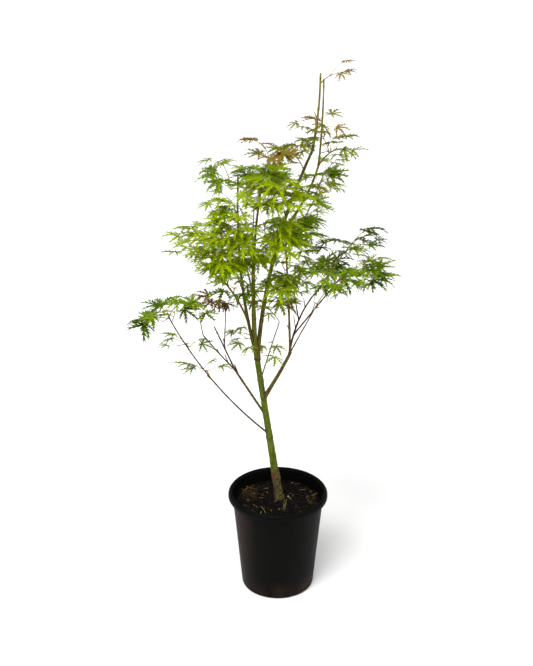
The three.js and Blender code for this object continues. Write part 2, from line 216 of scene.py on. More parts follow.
def grain_group():
    """Noise on Object coordinates, scaled per axis by Stretch: Mask is its height, sharpened by Contrast."""
    tree, given, out = new_group(
        "grain", {"Scale": 200.0, "Stretch": (1.0, 1.0, 1.0), "Detail": 4.0, "Contrast": 2.0},
        {"Mask": "NodeSocketFloat", "Height": "NodeSocketFloat"})
    place = node_in(tree, "ShaderNodeTexCoord")
    scaled = node_in(tree, "ShaderNodeVectorMath", {0: place.outputs["Object"], 1: given.outputs["Stretch"]},
                     operation="MULTIPLY")
    noise = node_in(tree, "ShaderNodeTexNoise", {"Vector": scaled.outputs[0], "Scale": given.outputs["Scale"],
                                                 "Detail": given.outputs["Detail"], "Roughness": 0.6})
    centred = node_in(tree, "ShaderNodeMath", {0: noise.outputs["Fac"], 1: 0.5}, operation="SUBTRACT")
    sharp = node_in(tree, "ShaderNodeMath", {0: centred.outputs[0], 1: given.outputs["Contrast"]},
                    operation="MULTIPLY")
    mask = node_in(tree, "ShaderNodeMath", {0: sharp.outputs[0], 1: 0.5}, operation="ADD", use_clamp=True)
    tree.links.new(mask.outputs[0], out.inputs["Mask"])
    tree.links.new(noise.outputs["Fac"], out.inputs["Height"])
    return tree


MIX = dict(factor=0, under=6, over=7, result=2)  # the places of a Mix node's colour sockets


def blend_group():
    """Three colours in turn: Base, then Patch where Mask 1 is high, then Speck where Mask 2 is high."""
    colours = {"Base": (0.1, 0.1, 0.1, 1.0), "Patch": (0.2, 0.2, 0.2, 1.0), "Speck": (0.3, 0.3, 0.3, 1.0)}
    masks = {"Mask 1": 0.0, "Mask 2": 0.0}
    tree, given, out = new_group("patches", {**colours, **masks}, {"Color": "NodeSocketColor"})
    shown = given.outputs["Base"]
    for mask, colour in (("Mask 1", "Patch"), ("Mask 2", "Speck")):
        inputs = {MIX["factor"]: given.outputs[mask], MIX["under"]: shown, MIX["over"]: given.outputs[colour]}
        shown = node_in(tree, "ShaderNodeMix", inputs, data_type="RGBA").outputs[MIX["result"]]
    tree.links.new(shown, out.inputs["Color"])
    return tree


GRAIN, PATCHES = grain_group(), blend_group()


def rgb(red, green, blue):
    """A colour as a screen shows it, 0 to 255, as the linear numbers a shader takes."""
    share = np.array([red, green, blue]) / 255
    linear = np.where(share <= 0.04045, share / 12.92, ((share + 0.055) / 1.055) ** 2.4)
    return (*map(float, linear), 1.0)


class Finish:
    """A material under construction: its tree, its Principled shader and shortcuts for the shared groups."""

    def __init__(self, name, **fixed):
        self.material = bpy.data.materials.new(name)
        self.material.use_nodes = True
        self.tree = self.material.node_tree
        self.shader = next(n for n in self.tree.nodes if n.type == "BSDF_PRINCIPLED")
        for socket, value in fixed.items():
            self.shader.inputs[socket.replace("_", " ")].default_value = value

    def grain(self, **values):
        return node_in(self.tree, "ShaderNodeGroup", values, node_tree=GRAIN)

    def field(self, name):
        return node_in(self.tree, "ShaderNodeAttribute", attribute_name=name).outputs["Fac"]

    def maths(self, operation, a, b, clamp=True):
        made = node_in(self.tree, "ShaderNodeMath", {0: a, 1: b}, operation=operation, use_clamp=clamp)
        return made.outputs[0]

    def patches(self, base, patch, mask, speck=None, speck_mask=0.0):
        inputs = {"Base": base, "Patch": patch, "Speck": speck or patch, "Mask 1": mask, "Mask 2": speck_mask}
        return node_in(self.tree, "ShaderNodeGroup", inputs, node_tree=PATCHES).outputs["Color"]

    def ramp(self, value, start, full, most=1.0):
        """0 where the value is at start, rising evenly to most where it is at full, and level beyond."""
        inputs = {"Value": value, "From Min": start, "From Max": full, "To Min": 0.0, "To Max": most}
        return node_in(self.tree, "ShaderNodeMapRange", inputs).outputs["Result"]

    def colour(self, socket):
        self.tree.links.new(socket, self.shader.inputs["Base Color"])

    def roughness(self, socket, low, high):
        span = node_in(self.tree, "ShaderNodeMapRange", {"Value": socket, "To Min": low, "To Max": high})
        self.tree.links.new(span.outputs["Result"], self.shader.inputs["Roughness"])

    def bump(self, socket, distance, strength=1.0):
        inputs = {"Height": socket, "Distance": distance, "Strength": strength}
        made = node_in(self.tree, "ShaderNodeBump", inputs)
        self.tree.links.new(made.outputs["Normal"], self.shader.inputs["Normal"])


# %% [markdown]
# ## The pot
# A nursery pot is thin black polypropylene, formed in one shot with its rim rolled over and down for
# stiffness. It is turned, so it is one profile carried round the axis. The profile's corners are rounded by
# short curves, since moulded plastic has none that are sharp. Notches in the foot let water out from under
# it: the columns of the grid that lie in a notch have their low points lifted to its ceiling, with the floor
# inside stepped up over it.

# %% Pot surface
POT = dict(height=212.0, rim=100.0, wall_top=91.0, base=73.0, wall=2.0, floor=3.0, lip=12.0)
DRAIN = dict(count=6, width=17.0, height=6.5, from_radius=61.0, first=-120.0, step=0.12)


def rounded(profile, radius, steps=5):
    """Each inner corner of an open polyline becomes a quadratic curve that starts and ends radius away from
    it, or under half of the way to the next corner: (1-t)^2 a + 2t(1-t) corner + t^2 b."""
    p = np.asarray(profile, float)
    before, at, after = p[:-2], p[1:-1], p[2:]

    def towards(other):
        gap = np.linalg.norm(other - at, axis=1, keepdims=True)
        return at + (other - at) * np.minimum(radius, 0.45 * gap) / gap

    a, b = towards(before), towards(after)
    t = np.linspace(0, 1, steps)[None, :, None]
    curve = (1 - t) ** 2 * a[:, None] + 2 * t * (1 - t) * at[:, None] + t ** 2 * b[:, None]
    return np.concatenate([p[:1], curve.reshape(-1, 2), p[-1:]])


def wall_radius(z):
    """Outer radius of the tapered wall: base + (top - base) z / (height of the lip's edge)."""
    return POT["base"] + (POT["wall_top"] - POT["base"]) * z / (POT["height"] - POT["lip"])


def pot_profile():
    """Radius and height from the middle of the underside, up the outside, over the rim and down to the
    floor."""
    h, rim, top, base = POT["height"], POT["rim"], POT["wall_top"], POT["base"]
    wall, floor, lip = POT["wall"], POT["floor"], POT["height"] - POT["lip"]
    out, low, at = DRAIN["from_radius"], DRAIN["height"], wall_radius
    under = [[0, 0], [out - 0.2, 0], [out + 0.2, 0], [base - 4, 0], [base - 0.6, 1.6], [at(4.5), 4.5]]
    side = [[at(low - 0.1), low - 0.1], [at(low + 0.3), low + 0.3], [at(60), 60], [at(130), 130],
            [top, lip - 3]]
    fold = [[top, lip + 5], [top + 1.4, h - 4], [top + 3.4, h - 2.8], [rim - 4.2, h - 2.8],
            [rim - 2.1, h - 5], [rim - 2.1, lip + 0.4]]
    lip_edge = [[rim - 0.6, lip], [rim, lip + 1.2], [rim, h - 4.5], [rim - 2.6, h - 0.6], [rim - 6, h],
                [top + 1.2, h - 1], [top - 0.9, h - 4.5]]
    inside = [[top - wall, lip], [base + 3, 60], [base - wall, floor + 3], [base - wall - 3, floor],
              [0, floor]]
    return rounded(under + side + fold + lip_edge + inside, 2.2)


def pot_skin(columns=168):
    """(r cos a, r sin a, z), with z = max(z, ceiling) for the points of a notch that lie outside its back
    wall."""
    profile = pot_profile()
    radius, height = profile[1:-1, 0], profile[1:-1, 1]
    edges = DRAIN["first"] + 360 * np.arange(DRAIN["count"]) / DRAIN["count"]
    half = math.degrees(math.asin(DRAIN["width"] / 2 / POT["base"]))
    step = DRAIN["step"]
    cuts = (edges[:, None] + np.array([-half - step, -half + step, half - step, half + step])).ravel()
    even = np.linspace(-180, 180, columns, endpoint=False)
    turn = np.sort(np.concatenate([even, (cuts + 180) % 360 - 180]))
    off = (turn[None, :] - edges[:, None] + 180) % 360 - 180
    notch = (np.abs(off) < half).any(0)
    wall_row = np.argmax(height > DRAIN["height"] + 0.2)
    row = np.arange(len(height))
    below = (row < wall_row) & (radius > DRAIN["from_radius"])
    inner = (row > len(row) // 2) & (radius > DRAIN["from_radius"] - 3) & (height < 20)
    z = np.broadcast_to(height[:, None], (len(height), len(turn))).copy()
    z = np.where(below[:, None] & notch, np.maximum(z, DRAIN["height"]), z)
    z = np.where(inner[:, None] & notch, np.maximum(z, DRAIN["height"] + 2), z)
    a = np.radians(turn)[None, :]
    sag = 0.35 * np.cos(2 * a + 0.6) * eased(height, 20, 200)[:, None]  # a thin pot is never quite round
    r = radius[:, None] + sag
    rings = np.stack([r * np.cos(a), r * np.sin(a), z], -1)
    return closed_skin(rings, (0, 0, 0), (0, 0, POT["floor"]))


# %% [markdown]
# ## The pot's finish
# Black plastic hides its form, so what is seen is a faint sheen and what lies on it. Brown soil dust clings
# to the foot, which stands on wet ground. The left of the wall under the rim has a painted brownish sheen in
# the same colour. Both are laid on by height and by side, broken up by soft clouds, so no picture is needed.

# %% Pot finish
# Places are in metres, as in Object coordinates: where the foot's dust and the painted left sheen start,
# where they are full, and how much of them.
DUST_AND_SHEEN = dict(foot=(0.045, 0.0, 0.8), left=(-0.045, -0.09, 0.9), rim=(0.196, 0.18, 1.0))


def pot_plastic():
    """Black plastic with a fine moulded texture, brown soil dust in patches at its foot, and a painted
    brownish sheen in patches on its left under the rim."""
    f = Finish("pot_plastic", Specular_IOR_Level=0.035)
    fine = f.grain(Scale=900.0, Detail=3.0, Contrast=1.6)
    cloud = f.grain(Scale=22.0, Stretch=(1.0, 1.0, 0.35), Detail=5.0, Contrast=3.0)
    place = node_in(f.tree, "ShaderNodeTexCoord")
    axes = node_in(f.tree, "ShaderNodeSeparateXYZ", {0: place.outputs["Object"]}).outputs
    foot = f.ramp(axes["Z"], *DUST_AND_SHEEN["foot"])
    # left: a painted brownish sheen on the left of the wall under the rim, in the colour of the foot's dust
    left = f.maths("MULTIPLY", f.ramp(axes["X"], *DUST_AND_SHEEN["left"]), f.ramp(axes["Z"], *DUST_AND_SHEEN["rim"]))
    dust_and_sheen = f.maths("MULTIPLY", f.maths("MAXIMUM", foot, left), cloud.outputs["Mask"])
    speck = f.grain(Scale=420.0, Detail=2.0, Contrast=9.0)
    speckle = f.maths("MULTIPLY", f.maths("SUBTRACT", speck.outputs["Mask"], 0.72), dust_and_sheen)
    # The patch colour is real soil dust at the foot and painted sheen on the left.
    f.colour(f.patches(rgb(8, 8, 7), rgb(48, 33, 28), dust_and_sheen, rgb(66, 46, 32), speckle))
    f.roughness(cloud.outputs["Mask"], 0.40, 0.52)
    f.bump(fine.outputs["Height"], 0.0006, 0.5)
    return f.material


piece("pot_shell", pot_skin(), pot_plastic(), ["pot"])

# %% [markdown]
# ## The compost
# Potting compost is composted bark: almost black when it is moist, rough, sunk a little below the rim and
# drawn down where it meets the wall. Its top is a height over radius and angle, with lumps of four sizes.
# Loose bits lie on it: crumbs, tan chips of bark, straw, pale grit and a few pellets of feed.

# %% Compost surface
COMPOST = dict(top=190.0, edge=85.0, flat=30.0, drop=4.0, low=3.4, gap=0.8, bed=15.0)
FOOT = (3.0, 8.0)  # where the trunk comes out of the compost


def compost_height(x, y):
    """Top height less a drop towards the wall, plus lumps of 34, 13, 6 and 3 mm; level by the trunk's
    foot."""
    r = np.hypot(x, y)
    p = np.stack([x, y], -1)
    rough = (1.1 * lumps(p, 34, 1) + 0.9 * lumps(p, 13, 2) + 0.7 * lumps(p, 6, 3) + 0.45 * lumps(p, 3, 4))
    near_foot = np.exp(-((x - FOOT[0]) ** 2 + (y - FOOT[1]) ** 2) / COMPOST["bed"] ** 2)
    dome = COMPOST["top"] - COMPOST["drop"] * eased(r, COMPOST["flat"], COMPOST["edge"])
    return dome + rough * (1 - near_foot)


def compost_skin(rings=64, columns=190):
    """Polar grid of the height, then a skirt down inside the pot wall to a flat underside."""
    a = np.radians(np.linspace(0, 360, columns, endpoint=False))[None, :]
    edge = wall_radius(COMPOST["top"] - COMPOST["drop"]) - POT["wall"] - COMPOST["gap"]
    r = edge * np.sqrt(np.linspace(1, 0.0005, rings))[:, None]
    x, y = r * np.cos(a), r * np.sin(a)
    top = np.stack([x, y, compost_height(x, y)], -1)
    skirt_z = np.array([COMPOST["low"], COMPOST["low"] + 4, 60.0, 120.0, 178.0])[:, None]
    skirt_r = wall_radius(skirt_z) - POT["wall"] - COMPOST["gap"] - np.array([3.0, 0, 0, 0, 0])[:, None]
    skirt = np.stack([skirt_r * np.cos(a), skirt_r * np.sin(a), skirt_z + 0 * a], -1)
    grid = np.concatenate([skirt, top])
    return closed_skin(grid, (0, 0, COMPOST["low"]), (0, 0, float(compost_height(0.0, 0.0))))


def compost_finish():
    f = Finish("compost", Specular_IOR_Level=0.06)
    coarse = f.grain(Scale=90.0, Detail=6.0, Contrast=4.5)
    fine = f.grain(Scale=420.0, Detail=5.0, Contrast=6.0)
    pale = f.maths("MULTIPLY", f.maths("SUBTRACT", fine.outputs["Mask"], 0.55), coarse.outputs["Mask"])
    f.colour(f.patches(rgb(3, 2, 1), rgb(12, 8, 5), coarse.outputs["Mask"], rgb(48, 35, 20), pale))
    f.roughness(coarse.outputs["Mask"], 0.62, 0.95)
    f.bump(fine.outputs["Height"], 0.003, 0.9)
    return f.material


piece("compost_bed", compost_skin(), compost_finish(), ["compost"])

# %% [markdown]
# ## Loose bits on the compost
# Each kind of bit is one small shape, copied many times with its own size, turn and place and joined into
# one mesh. The shape is a ball of few faces with its corners pushed in and out: flat for a chip, drawn out
# for straw. Dark crumbs lie everywhere. Brown ones, and most chips and straws, lie to the left and right of
# the trunk, where they were brushed aside when the pot was filled.

# %% Scattered bits
def small_ball():
    """The 12 corners and 20 faces of an icosahedron of radius 1, from the golden ratio."""
    g = (1 + math.sqrt(5)) / 2
    p = np.array([[-1, g, 0], [1, g, 0], [-1, -g, 0], [1, -g, 0], [0, -1, g], [0, 1, g],
                  [0, -1, -g], [0, 1, -g], [g, 0, -1], [g, 0, 1], [-g, 0, -1], [-g, 0, 1]]) / math.hypot(1, g)
    f = np.array([[0, 11, 5], [0, 5, 1], [0, 1, 7], [0, 7, 10], [0, 10, 11], [1, 5, 9], [5, 11, 4],
                  [11, 10, 2], [10, 7, 6], [7, 1, 8], [3, 9, 4], [3, 4, 2], [3, 2, 6], [3, 6, 8], [3, 8, 9],
                  [4, 9, 5], [2, 4, 11], [6, 2, 10], [8, 6, 7], [9, 8, 1]])
    return p, f


def scattered(places, sizes, turns, tilts, jitter, seed, sink=0.25, height=None):
    """Copies of the ball scaled by sizes (n, 3), tilted about X, turned about Z, and set on the compost, or
    at one height."""
    chance = np.random.default_rng(seed)
    ball, faces = small_ball()
    n = len(places)
    shape = ball[None] * (1 + jitter * chance.uniform(-1, 1, (n, len(ball), 1))) * sizes[:, None, :]
    c, s = np.cos(tilts)[:, None], np.sin(tilts)[:, None]
    x, y, z = np.moveaxis(shape, -1, 0)
    x, y, z = x, c * y - s * z, s * y + c * z
    c, s = np.cos(turns)[:, None], np.sin(turns)[:, None]
    shape = np.stack([c * x - s * y, s * x + c * y, z], -1)
    ground = compost_height(places[:, 0], places[:, 1]) + sizes[:, 2] * (1 - 2 * sink)
    centre = np.stack([places[:, 0], places[:, 1], ground if height is None else np.full(n, height)], -1)
    tone = np.repeat(chance.uniform(0, 1, n), len(ball))
    every = (faces[None] + len(ball) * np.arange(n)[:, None, None]).reshape(-1, 3)
    return skin((shape + centre[:, None]).reshape(-1, 3), [every], tone=tone)


def spots(n, seed, reach=80.0, keep=14.0):
    """n places spread evenly over the disc, pushed out of the ring where the trunk stands."""
    chance = np.random.default_rng(seed)
    a, r = chance.uniform(0, 2 * np.pi, n), reach * np.sqrt(chance.uniform(0, 1, n))
    p = np.stack([r * np.cos(a), r * np.sin(a)], -1)
    off = p - FOOT
    gap = np.linalg.norm(off, axis=1, keepdims=True)
    return np.where(gap < keep, FOOT + off / np.maximum(gap, 0.1) * (keep + 4), p)


def bit_finish(name, dark, pale, rough=0.8):
    """Two colours dealt out by bit, broken up by a grain, so that no two bits look quite alike."""
    f = Finish(name, Specular_IOR_Level=0.2)
    grain = f.grain(Scale=500.0, Detail=4.0, Contrast=3.0)
    by_bit = f.maths("MULTIPLY", f.field("tone"), 0.7)
    by_grain = f.maths("MULTIPLY", grain.outputs["Mask"], 0.4)
    f.colour(f.patches(dark, pale, f.maths("ADD", by_bit, by_grain)))
    f.roughness(grain.outputs["Mask"], rough - 0.1, rough + 0.1)
    f.bump(grain.outputs["Height"], 0.001, 0.6)
    return f.material


def uneven(n, low, high, seed):
    return np.random.default_rng(seed).uniform(low, high, (n, len(low)))


def loose_bits(name, finish, places, small, large, tilt, jitter, seed, sink=0.25):
    """One kind of bit, each between the small and large half sizes, with any turn, and tilted by up to
    tilt."""
    n = len(places)
    sizes = uneven(n, small, large, seed)
    turns = uneven(n, [0], [6.28], seed + 1)[:, 0]
    tilts = uneven(n, [-tilt], [tilt], seed + 2)[:, 0]
    made = scattered(places, sizes, turns, tilts, jitter, seed + 3, sink)
    piece(name, made, finish, smooth=False)


loose_bits("compost_crumbs", bit_finish("crumb", rgb(2, 2, 1), rgb(9, 7, 4)), spots(620, 11, 82),
           (1.0, 0.9, 0.7), (3.6, 3.0, 2.2), 0.6, 0.28, 12)

# %% Brown heaps
# Each heap: its middle, how far it spreads in X and Y, and how many crumbs it has. None lies beyond the
# reach.
HEAPS = dict(left=(-58, 34, 12, 14, 90), right=(66, 2, 7, 20, 40))
HEAP_REACH = 80
chance = np.random.default_rng(61)
heaped = [chance.normal((x, y), (wide, deep), (n, 2)) for x, y, wide, deep, n in HEAPS.values()]
heaped = np.concatenate(heaped)
heaped = heaped * np.minimum(1, HEAP_REACH / np.linalg.norm(heaped, axis=1, keepdims=True))
loose_bits("brown_crumbs", bit_finish("brown_crumb", rgb(14, 8, 3), rgb(58, 38, 15)), heaped,
           (1.2, 0.9, 0.6), (4.4, 2.6, 1.6), 0.6, 0.3, 62)

# %% Chips, straw, feed and grit
CHIPS_BESIDE = [
    [-61, 50], [-56, 40], [-66, 33], [-70, 22], [-58, 24], [-49, 46], [-45, 30], [-62, 60], [-52, 56],
    [-40, 22], [-67, 8], [-60, -2], [-46, 14], [-72, 46], [-30, 20], [-66, -18], [68, 36], [75, 24],
    [70, 12], [62, 2], [58, -22], [66, -8], [52, -34], [44, -40], [74, -2], [40, 68], [33, 73], [-30, 62],
    [-20, 70], [36, -28], [14, -58], [-10, -62]]
chip_places = np.concatenate([CHIPS_BESIDE, spots(10, 21, 78)])
loose_bits("bark_chips", bit_finish("bark_chip", rgb(18, 12, 6), rgb(66, 49, 22)), chip_places,
           (2.2, 1.3, 0.5), (6.8, 3.0, 1.1), 0.5, 0.3, 22, sink=0.1)

# Each straw: its place, half its length and its heading. Half its width and height are the same for all.
STRAWS = np.array([
    [-40.0, 26, 13, -12], [-31, 8, 9, 4], [-52, 33, 12, 28], [-56, 52, 11, -30], [-66, 44, 9, 62],
    [24, 6, 9, -62], [40, 70, 11, 14], [-24, 46, 8, 5], [74, 26, 12, 38], [60, 10, 8, 70],
    [14, -22, 11, 72], [-46, -22, 8, -50], [-34, -44, 7, 80], [50, 40, 9, 8]])
STRAW_SECTION = (0.95, 0.6)
straw_sizes = np.column_stack([STRAWS[:, 2], np.tile(STRAW_SECTION, (len(STRAWS), 1))])
straw_tilts = uneven(len(STRAWS), [-0.3], [0.3], 33)[:, 0]
straw = scattered(STRAWS[:, :2], straw_sizes, np.radians(STRAWS[:, 3]), straw_tilts, 0.15, 31, sink=-0.6)
piece("straw", straw, bit_finish("straw", rgb(84, 68, 22), rgb(138, 118, 50), 0.6), smooth=False)

FEED = np.array([[-22.0, 30.7], [-4.8, -9], [-14, -42], [2, -38.8]])
FEED_RADIUS = 1.8
feed_turns = uneven(len(FEED), [0], [6.28], 42)[:, 0]
feed = scattered(FEED, np.full((len(FEED), 3), FEED_RADIUS), feed_turns, np.zeros(len(FEED)), 0.06, 43, 0.1)
piece("feed_pellets", feed, bit_finish("feed_pellet", rgb(120, 66, 24), rgb(176, 132, 62), 0.5))

GRIT = np.array([[30.0, 74.7], [20.7, 11.1]])
grit_sizes = uneven(len(GRIT), (1.2, 1.0, 0.8), (2.2, 1.8, 1.4), 44)
grit = scattered(GRIT, grit_sizes, np.zeros(len(GRIT)), np.zeros(len(GRIT)), 0.25, 45, 0.1)
piece("pale_grit", grit, bit_finish("pale_grit", rgb(170, 166, 156), rgb(226, 224, 216), 0.8))

# %% [markdown]
# ## Compost and painted shade in the drain notches
# Watering washes a little brown compost into each notch of the foot. A row of dark brown lumps stands in
# each, just inside the wall, so that the notch doesn't look through to the lit floor behind. The lumps are
# partly that
# compost and partly painted shade: they stand in for the shadow that fills the notch.

# %% Drain plugs
# Dark brown lumps in each notch, partly compost and partly painted shade for the shadow inside the notch.
DRAIN_COMPOST_AND_SHADE = dict(lumps=7, radius=69.0, spread=12.0, size=(3.8, 3.0, 3.1), height=3.2)
notch_turns = DRAIN["first"] + 360 * np.arange(DRAIN["count"]) / DRAIN["count"]
across_notch = np.linspace(-0.5, 0.5, DRAIN_COMPOST_AND_SHADE["lumps"]) * (DRAIN_COMPOST_AND_SHADE["spread"] / DRAIN_COMPOST_AND_SHADE["radius"])
lump_turn = np.radians(np.repeat(notch_turns, DRAIN_COMPOST_AND_SHADE["lumps"])) + np.tile(across_notch, DRAIN["count"])
plug_places = DRAIN_COMPOST_AND_SHADE["radius"] * np.stack([np.cos(lump_turn), np.sin(lump_turn)], -1)
plug_sizes = np.tile(DRAIN_COMPOST_AND_SHADE["size"], (len(lump_turn), 1))
compost_and_shade_lumps = scattered(plug_places, plug_sizes, lump_turn, 0 * lump_turn, 0.12, 51, height=DRAIN_COMPOST_AND_SHADE["height"])
piece("drain_compost_and_shade", compost_and_shade_lumps, bit_finish("drain_compost_and_shade", rgb(22, 12, 8), rgb(52, 28, 18), 0.9))

# %% [markdown]
# ## Seedlings
# Three thin weed seedlings have come up in front of the trunk. Each is a bowed thread from its foot on the
# compost to its tip, made with the stems further down.

# %% Seedling rows
# Each seedling: X and Y of its foot, then its tip.
SEEDLING_ROWS = """
10 -44 13 -22 205
13 -46 17 -16 202
-24 -50 -34 -38 198
"""
SEEDLING = dict(bow=3, radius=0.45, points=6)

# %% [markdown]
# ## How the plant grows
# Each limb is a path whose direction turns evenly from its first rise and heading to its last, and it leaves
# its parent at a stated distance along it. The same rows say where the solids are, so a skin round these
# paths covers them. A spray is a short stem with pairs of leaves, each pair turned a quarter from the last,
# as on every maple.

# %% Limb and spray rows
TRUNK = dict(foot=(*FOOT, 188.8), seat=188.9, length=330, rise=(82, 82), heading=(180, 180), thick=(16, 10.5),
             flare=3.2, flare_height=14, graft=1.3, graft_height=52, graft_spread=12, stock_blend=14)
TIP = 999  # a row with this place starts at the tip of what it grows on
# Each limb: its name, what it grows on and where along it, its length, first and last rise, first and last
# heading, and first and last thickness.
LIMB_ROWS = """
low_left_bough trunk 150 350 45 65 200 200 3.6 2.2
low_left_side_shoot low_left_bough 140 50 50 25 160 145 1.9 1.6
left_bough trunk 190 135 60 60 205 210 5 4.2
left_outer_bough left_bough 999 100 50 55 190 195 3 2.4
left_inner_bough left_bough 999 95 65 65 165 165 3.4 2.6
red_shoot left_inner_bough 50 85 70 70 80 90 2.4 2
right_bough trunk 230 125 60 65 -25 -30 8 6.2
right_upright right_bough 999 225 75 80 95 110 5 3.4
right_red_bough right_bough 120 140 70 45 65 20 4.2 2.8
right_red_shoot right_red_bough 70 85 45 60 105 100 2.6 2.2
right_outer_bough right_red_bough 40 180 55 55 -25 -25 3.3 2.4
right_under_bough right_bough 115 145 55 60 -65 -45 3 2.2
purple_shoot trunk 270 120 55 60 60 50 2.5 2
left_limb trunk 320 360 75 85 165 75 7.2 2.8
left_outer_limb left_limb 75 95 70 55 195 190 4.4 3.4
left_far_bough left_outer_limb 999 70 45 45 210 205 2.8 2.2
centre_limb trunk 999 400 85 75 -120 -40 7.4 3
right_limb trunk 315 425 85 65 35 10 9 5
right_leader right_limb 999 145 80 90 0 0 4.8 3.6
inner_limb right_limb 260 150 50 75 0 -5 5 4
inner_leader inner_limb 999 160 85 90 -10 0 3.9 3
thin_right_shoot right_upright 180 135 60 50 45 40 3 2.2
front_limb centre_limb 120 150 65 55 -110 -100 4 2.6
back_limb left_limb 30 260 75 50 95 85 4.4 2.4
"""
# Each spray: its name, its limb and where along it, its stem's length, rises and headings, its pairs of
# leaves, their length, its seed, its old and young tints, and how many side twigs it carries.
SPRAY_ROWS = """
far_left_spray low_left_bough 340 15 75 75 180 180 2 46 4 deep mid 1
low_left_spray low_left_bough 190 15 70 70 180 180 1 34 5 mid mid 0
low_left_side_spray low_left_bough 265 15 70 70 180 180 1 32 7 mid bright 0
left_low_spray left_outer_bough 999 35 80 60 150 90 1 36 9 mid mid 0
red_leaf_spray red_shoot 999 20 -30 -40 190 200 2 32 11 red red 0
purple_spray purple_shoot 999 45 55 40 150 190 2 38 17 bright olive 1
left_tip_spray left_far_bough 999 40 75 50 205 195 2 36 21 mid bright 0
left_lower_spray left_outer_limb 65 50 50 25 270 280 2 38 21 bright mid 0
left_mid_spray left_limb 130 140 65 40 130 160 3 44 22 bright bright 5
upper_left_spray left_limb 345 25 20 -10 200 200 2 40 23 mid mid 1
left_high_spray left_limb 285 60 30 0 270 265 2 42 25 mid bright 1
inner_high_spray left_limb 310 70 30 5 50 40 3 42 28 mid mid 5
top_centre_spray centre_limb 999 20 60 40 0 -20 2 38 29 olive bronze 2
centre_high_spray centre_limb 330 75 30 5 -70 -60 3 44 31 olive bright 6
front_spray front_limb 999 60 55 20 -100 -110 3 44 33 bright bright 5
front_left_spray front_limb 90 85 35 10 235 230 3 44 35 bright bright 5
centre_spray centre_limb 245 90 35 5 -65 -60 3 44 37 bright bright 6
right_high_spray thin_right_shoot 999 40 40 0 90 60 3 38 39 mid mid 1
right_mid_spray right_upright 999 50 45 0 -55 -60 3 42 41 mid mid 3
leader_left_spray right_limb 385 50 60 40 -110 -150 2 36 43 mid olive 1
leader_mid_spray inner_leader 60 20 60 40 -90 -90 2 32 45 olive bronze 0
leader_right_spray inner_limb 999 50 60 30 -20 -20 2 34 47 mid olive 1
leader_low_spray inner_limb 100 35 35 5 -80 -80 2 32 49 mid olive 0
leader_top_spray right_leader 125 25 60 20 0 0 1 24 51 bronze bronze 0
right_top_spray right_red_bough 999 115 55 50 20 15 3 42 53 mid deep 3
right_far_spray right_outer_bough 999 45 -5 -25 -5 0 3 40 56 deep mid 1
right_near_spray right_under_bough 999 105 65 40 -45 -40 3 44 57 deep mid 3
right_inner_spray right_red_shoot 999 60 20 -10 20 0 3 44 60 mid deep 0
centre_low_spray right_upright 130 85 40 10 -95 -100 3 42 62 bright bright 5
back_spray back_limb 999 70 45 10 70 60 3 46 63 mid bright 2
back_right_spray right_limb 150 200 60 20 60 65 3 48 66 mid bright 3
centre_left_spray centre_limb 260 55 50 20 220 230 3 44 67 bright bright 5
low_centre_spray centre_limb 160 90 60 30 -110 -120 3 44 70 bright bright 5
"""


def read_rows(text, words, keys):
    """Rows of names and numbers as dictionaries; two numbers in a row that belong together become a pair."""
    rows = []
    for line in text.strip().splitlines():
        cells = iter(line.split())
        row = {}
        for key, count in keys.items():
            got = [next(cells) for _ in range(count)]
            got = got if key in words else [float(c) for c in got]
            row[key] = got[0] if count == 1 else tuple(got)
        rows.append(row)
    return rows


LIMBS = read_rows(LIMB_ROWS, ("name", "on"), dict(name=1, on=1, at=1, length=1, rise=2, heading=2, thick=2))
SPRAYS = read_rows(SPRAY_ROWS, ("name", "on", "old", "young"),
                   dict(name=1, on=1, at=1, length=1, rise=2, heading=2, pairs=1, leaf=1, seed=1, old=1,
                        young=1, side_twigs=1))
print(len(LIMBS), "limbs and", len(SPRAYS), "sprays")


# %% Paths
def direction(rise, heading):
    """(cos rise cos heading, cos rise sin heading, sin rise)."""
    r, h = np.radians(rise), np.radians(heading)
    return np.stack(np.broadcast_arrays(np.cos(r) * np.cos(h), np.cos(r) * np.sin(h), np.sin(r)), -1)


def mix(a, b, t):
    return a + (b - a) * t


def grow_path(start, length, rise, heading, steps):
    """Even steps, each along the direction halfway through it, summed up; with the level direction across
    the path and the one over it at each point."""
    half = (np.arange(steps) + 0.5) / steps
    moves = direction(mix(*rise, half), mix(*heading, half)) * length / steps
    points = np.asarray(start, float) + np.concatenate([np.zeros((1, 3)), np.cumsum(moves, 0)])
    t = np.linspace(0, 1, steps + 1)
    forward, across = direction(mix(*rise, t), mix(*heading, t)), direction(0.0, mix(*heading, t) + 90)
    return dict(point=points, forward=forward, across=across, over=np.cross(forward, across), length=length)


def frame_on(path, distance):
    """The path's point and directions at a distance, between its two nearest steps."""
    steps = len(path["point"]) - 1
    place = min(max(distance / path["length"] * steps, 0), steps)
    i = min(int(place), steps - 1)
    found = {k: mix(path[k][i], path[k][i + 1], place - i) for k in ("point", "forward", "across", "over")}
    for key in ("forward", "across", "over"):
        found[key] = found[key] / np.linalg.norm(found[key])
    return found


paths = {"trunk": grow_path(TRUNK["foot"], TRUNK["length"], TRUNK["rise"], TRUNK["heading"], 140)}
for limb in LIMBS:
    start = frame_on(paths[limb["on"]], limb["at"])["point"]
    paths[limb["name"]] = grow_path(start, limb["length"], limb["rise"], limb["heading"],
                                    max(24, round(limb["length"] / 2.5)))
stems = {}
for spray in SPRAYS:
    start = frame_on(paths[spray["on"]], spray["at"])["point"]
    stems[spray["name"]] = grow_path(start, spray["length"], spray["rise"], spray["heading"], 10)
print("top of the paths:", round(max(p["point"][:, 2].max() for p in paths.values())), "mm")

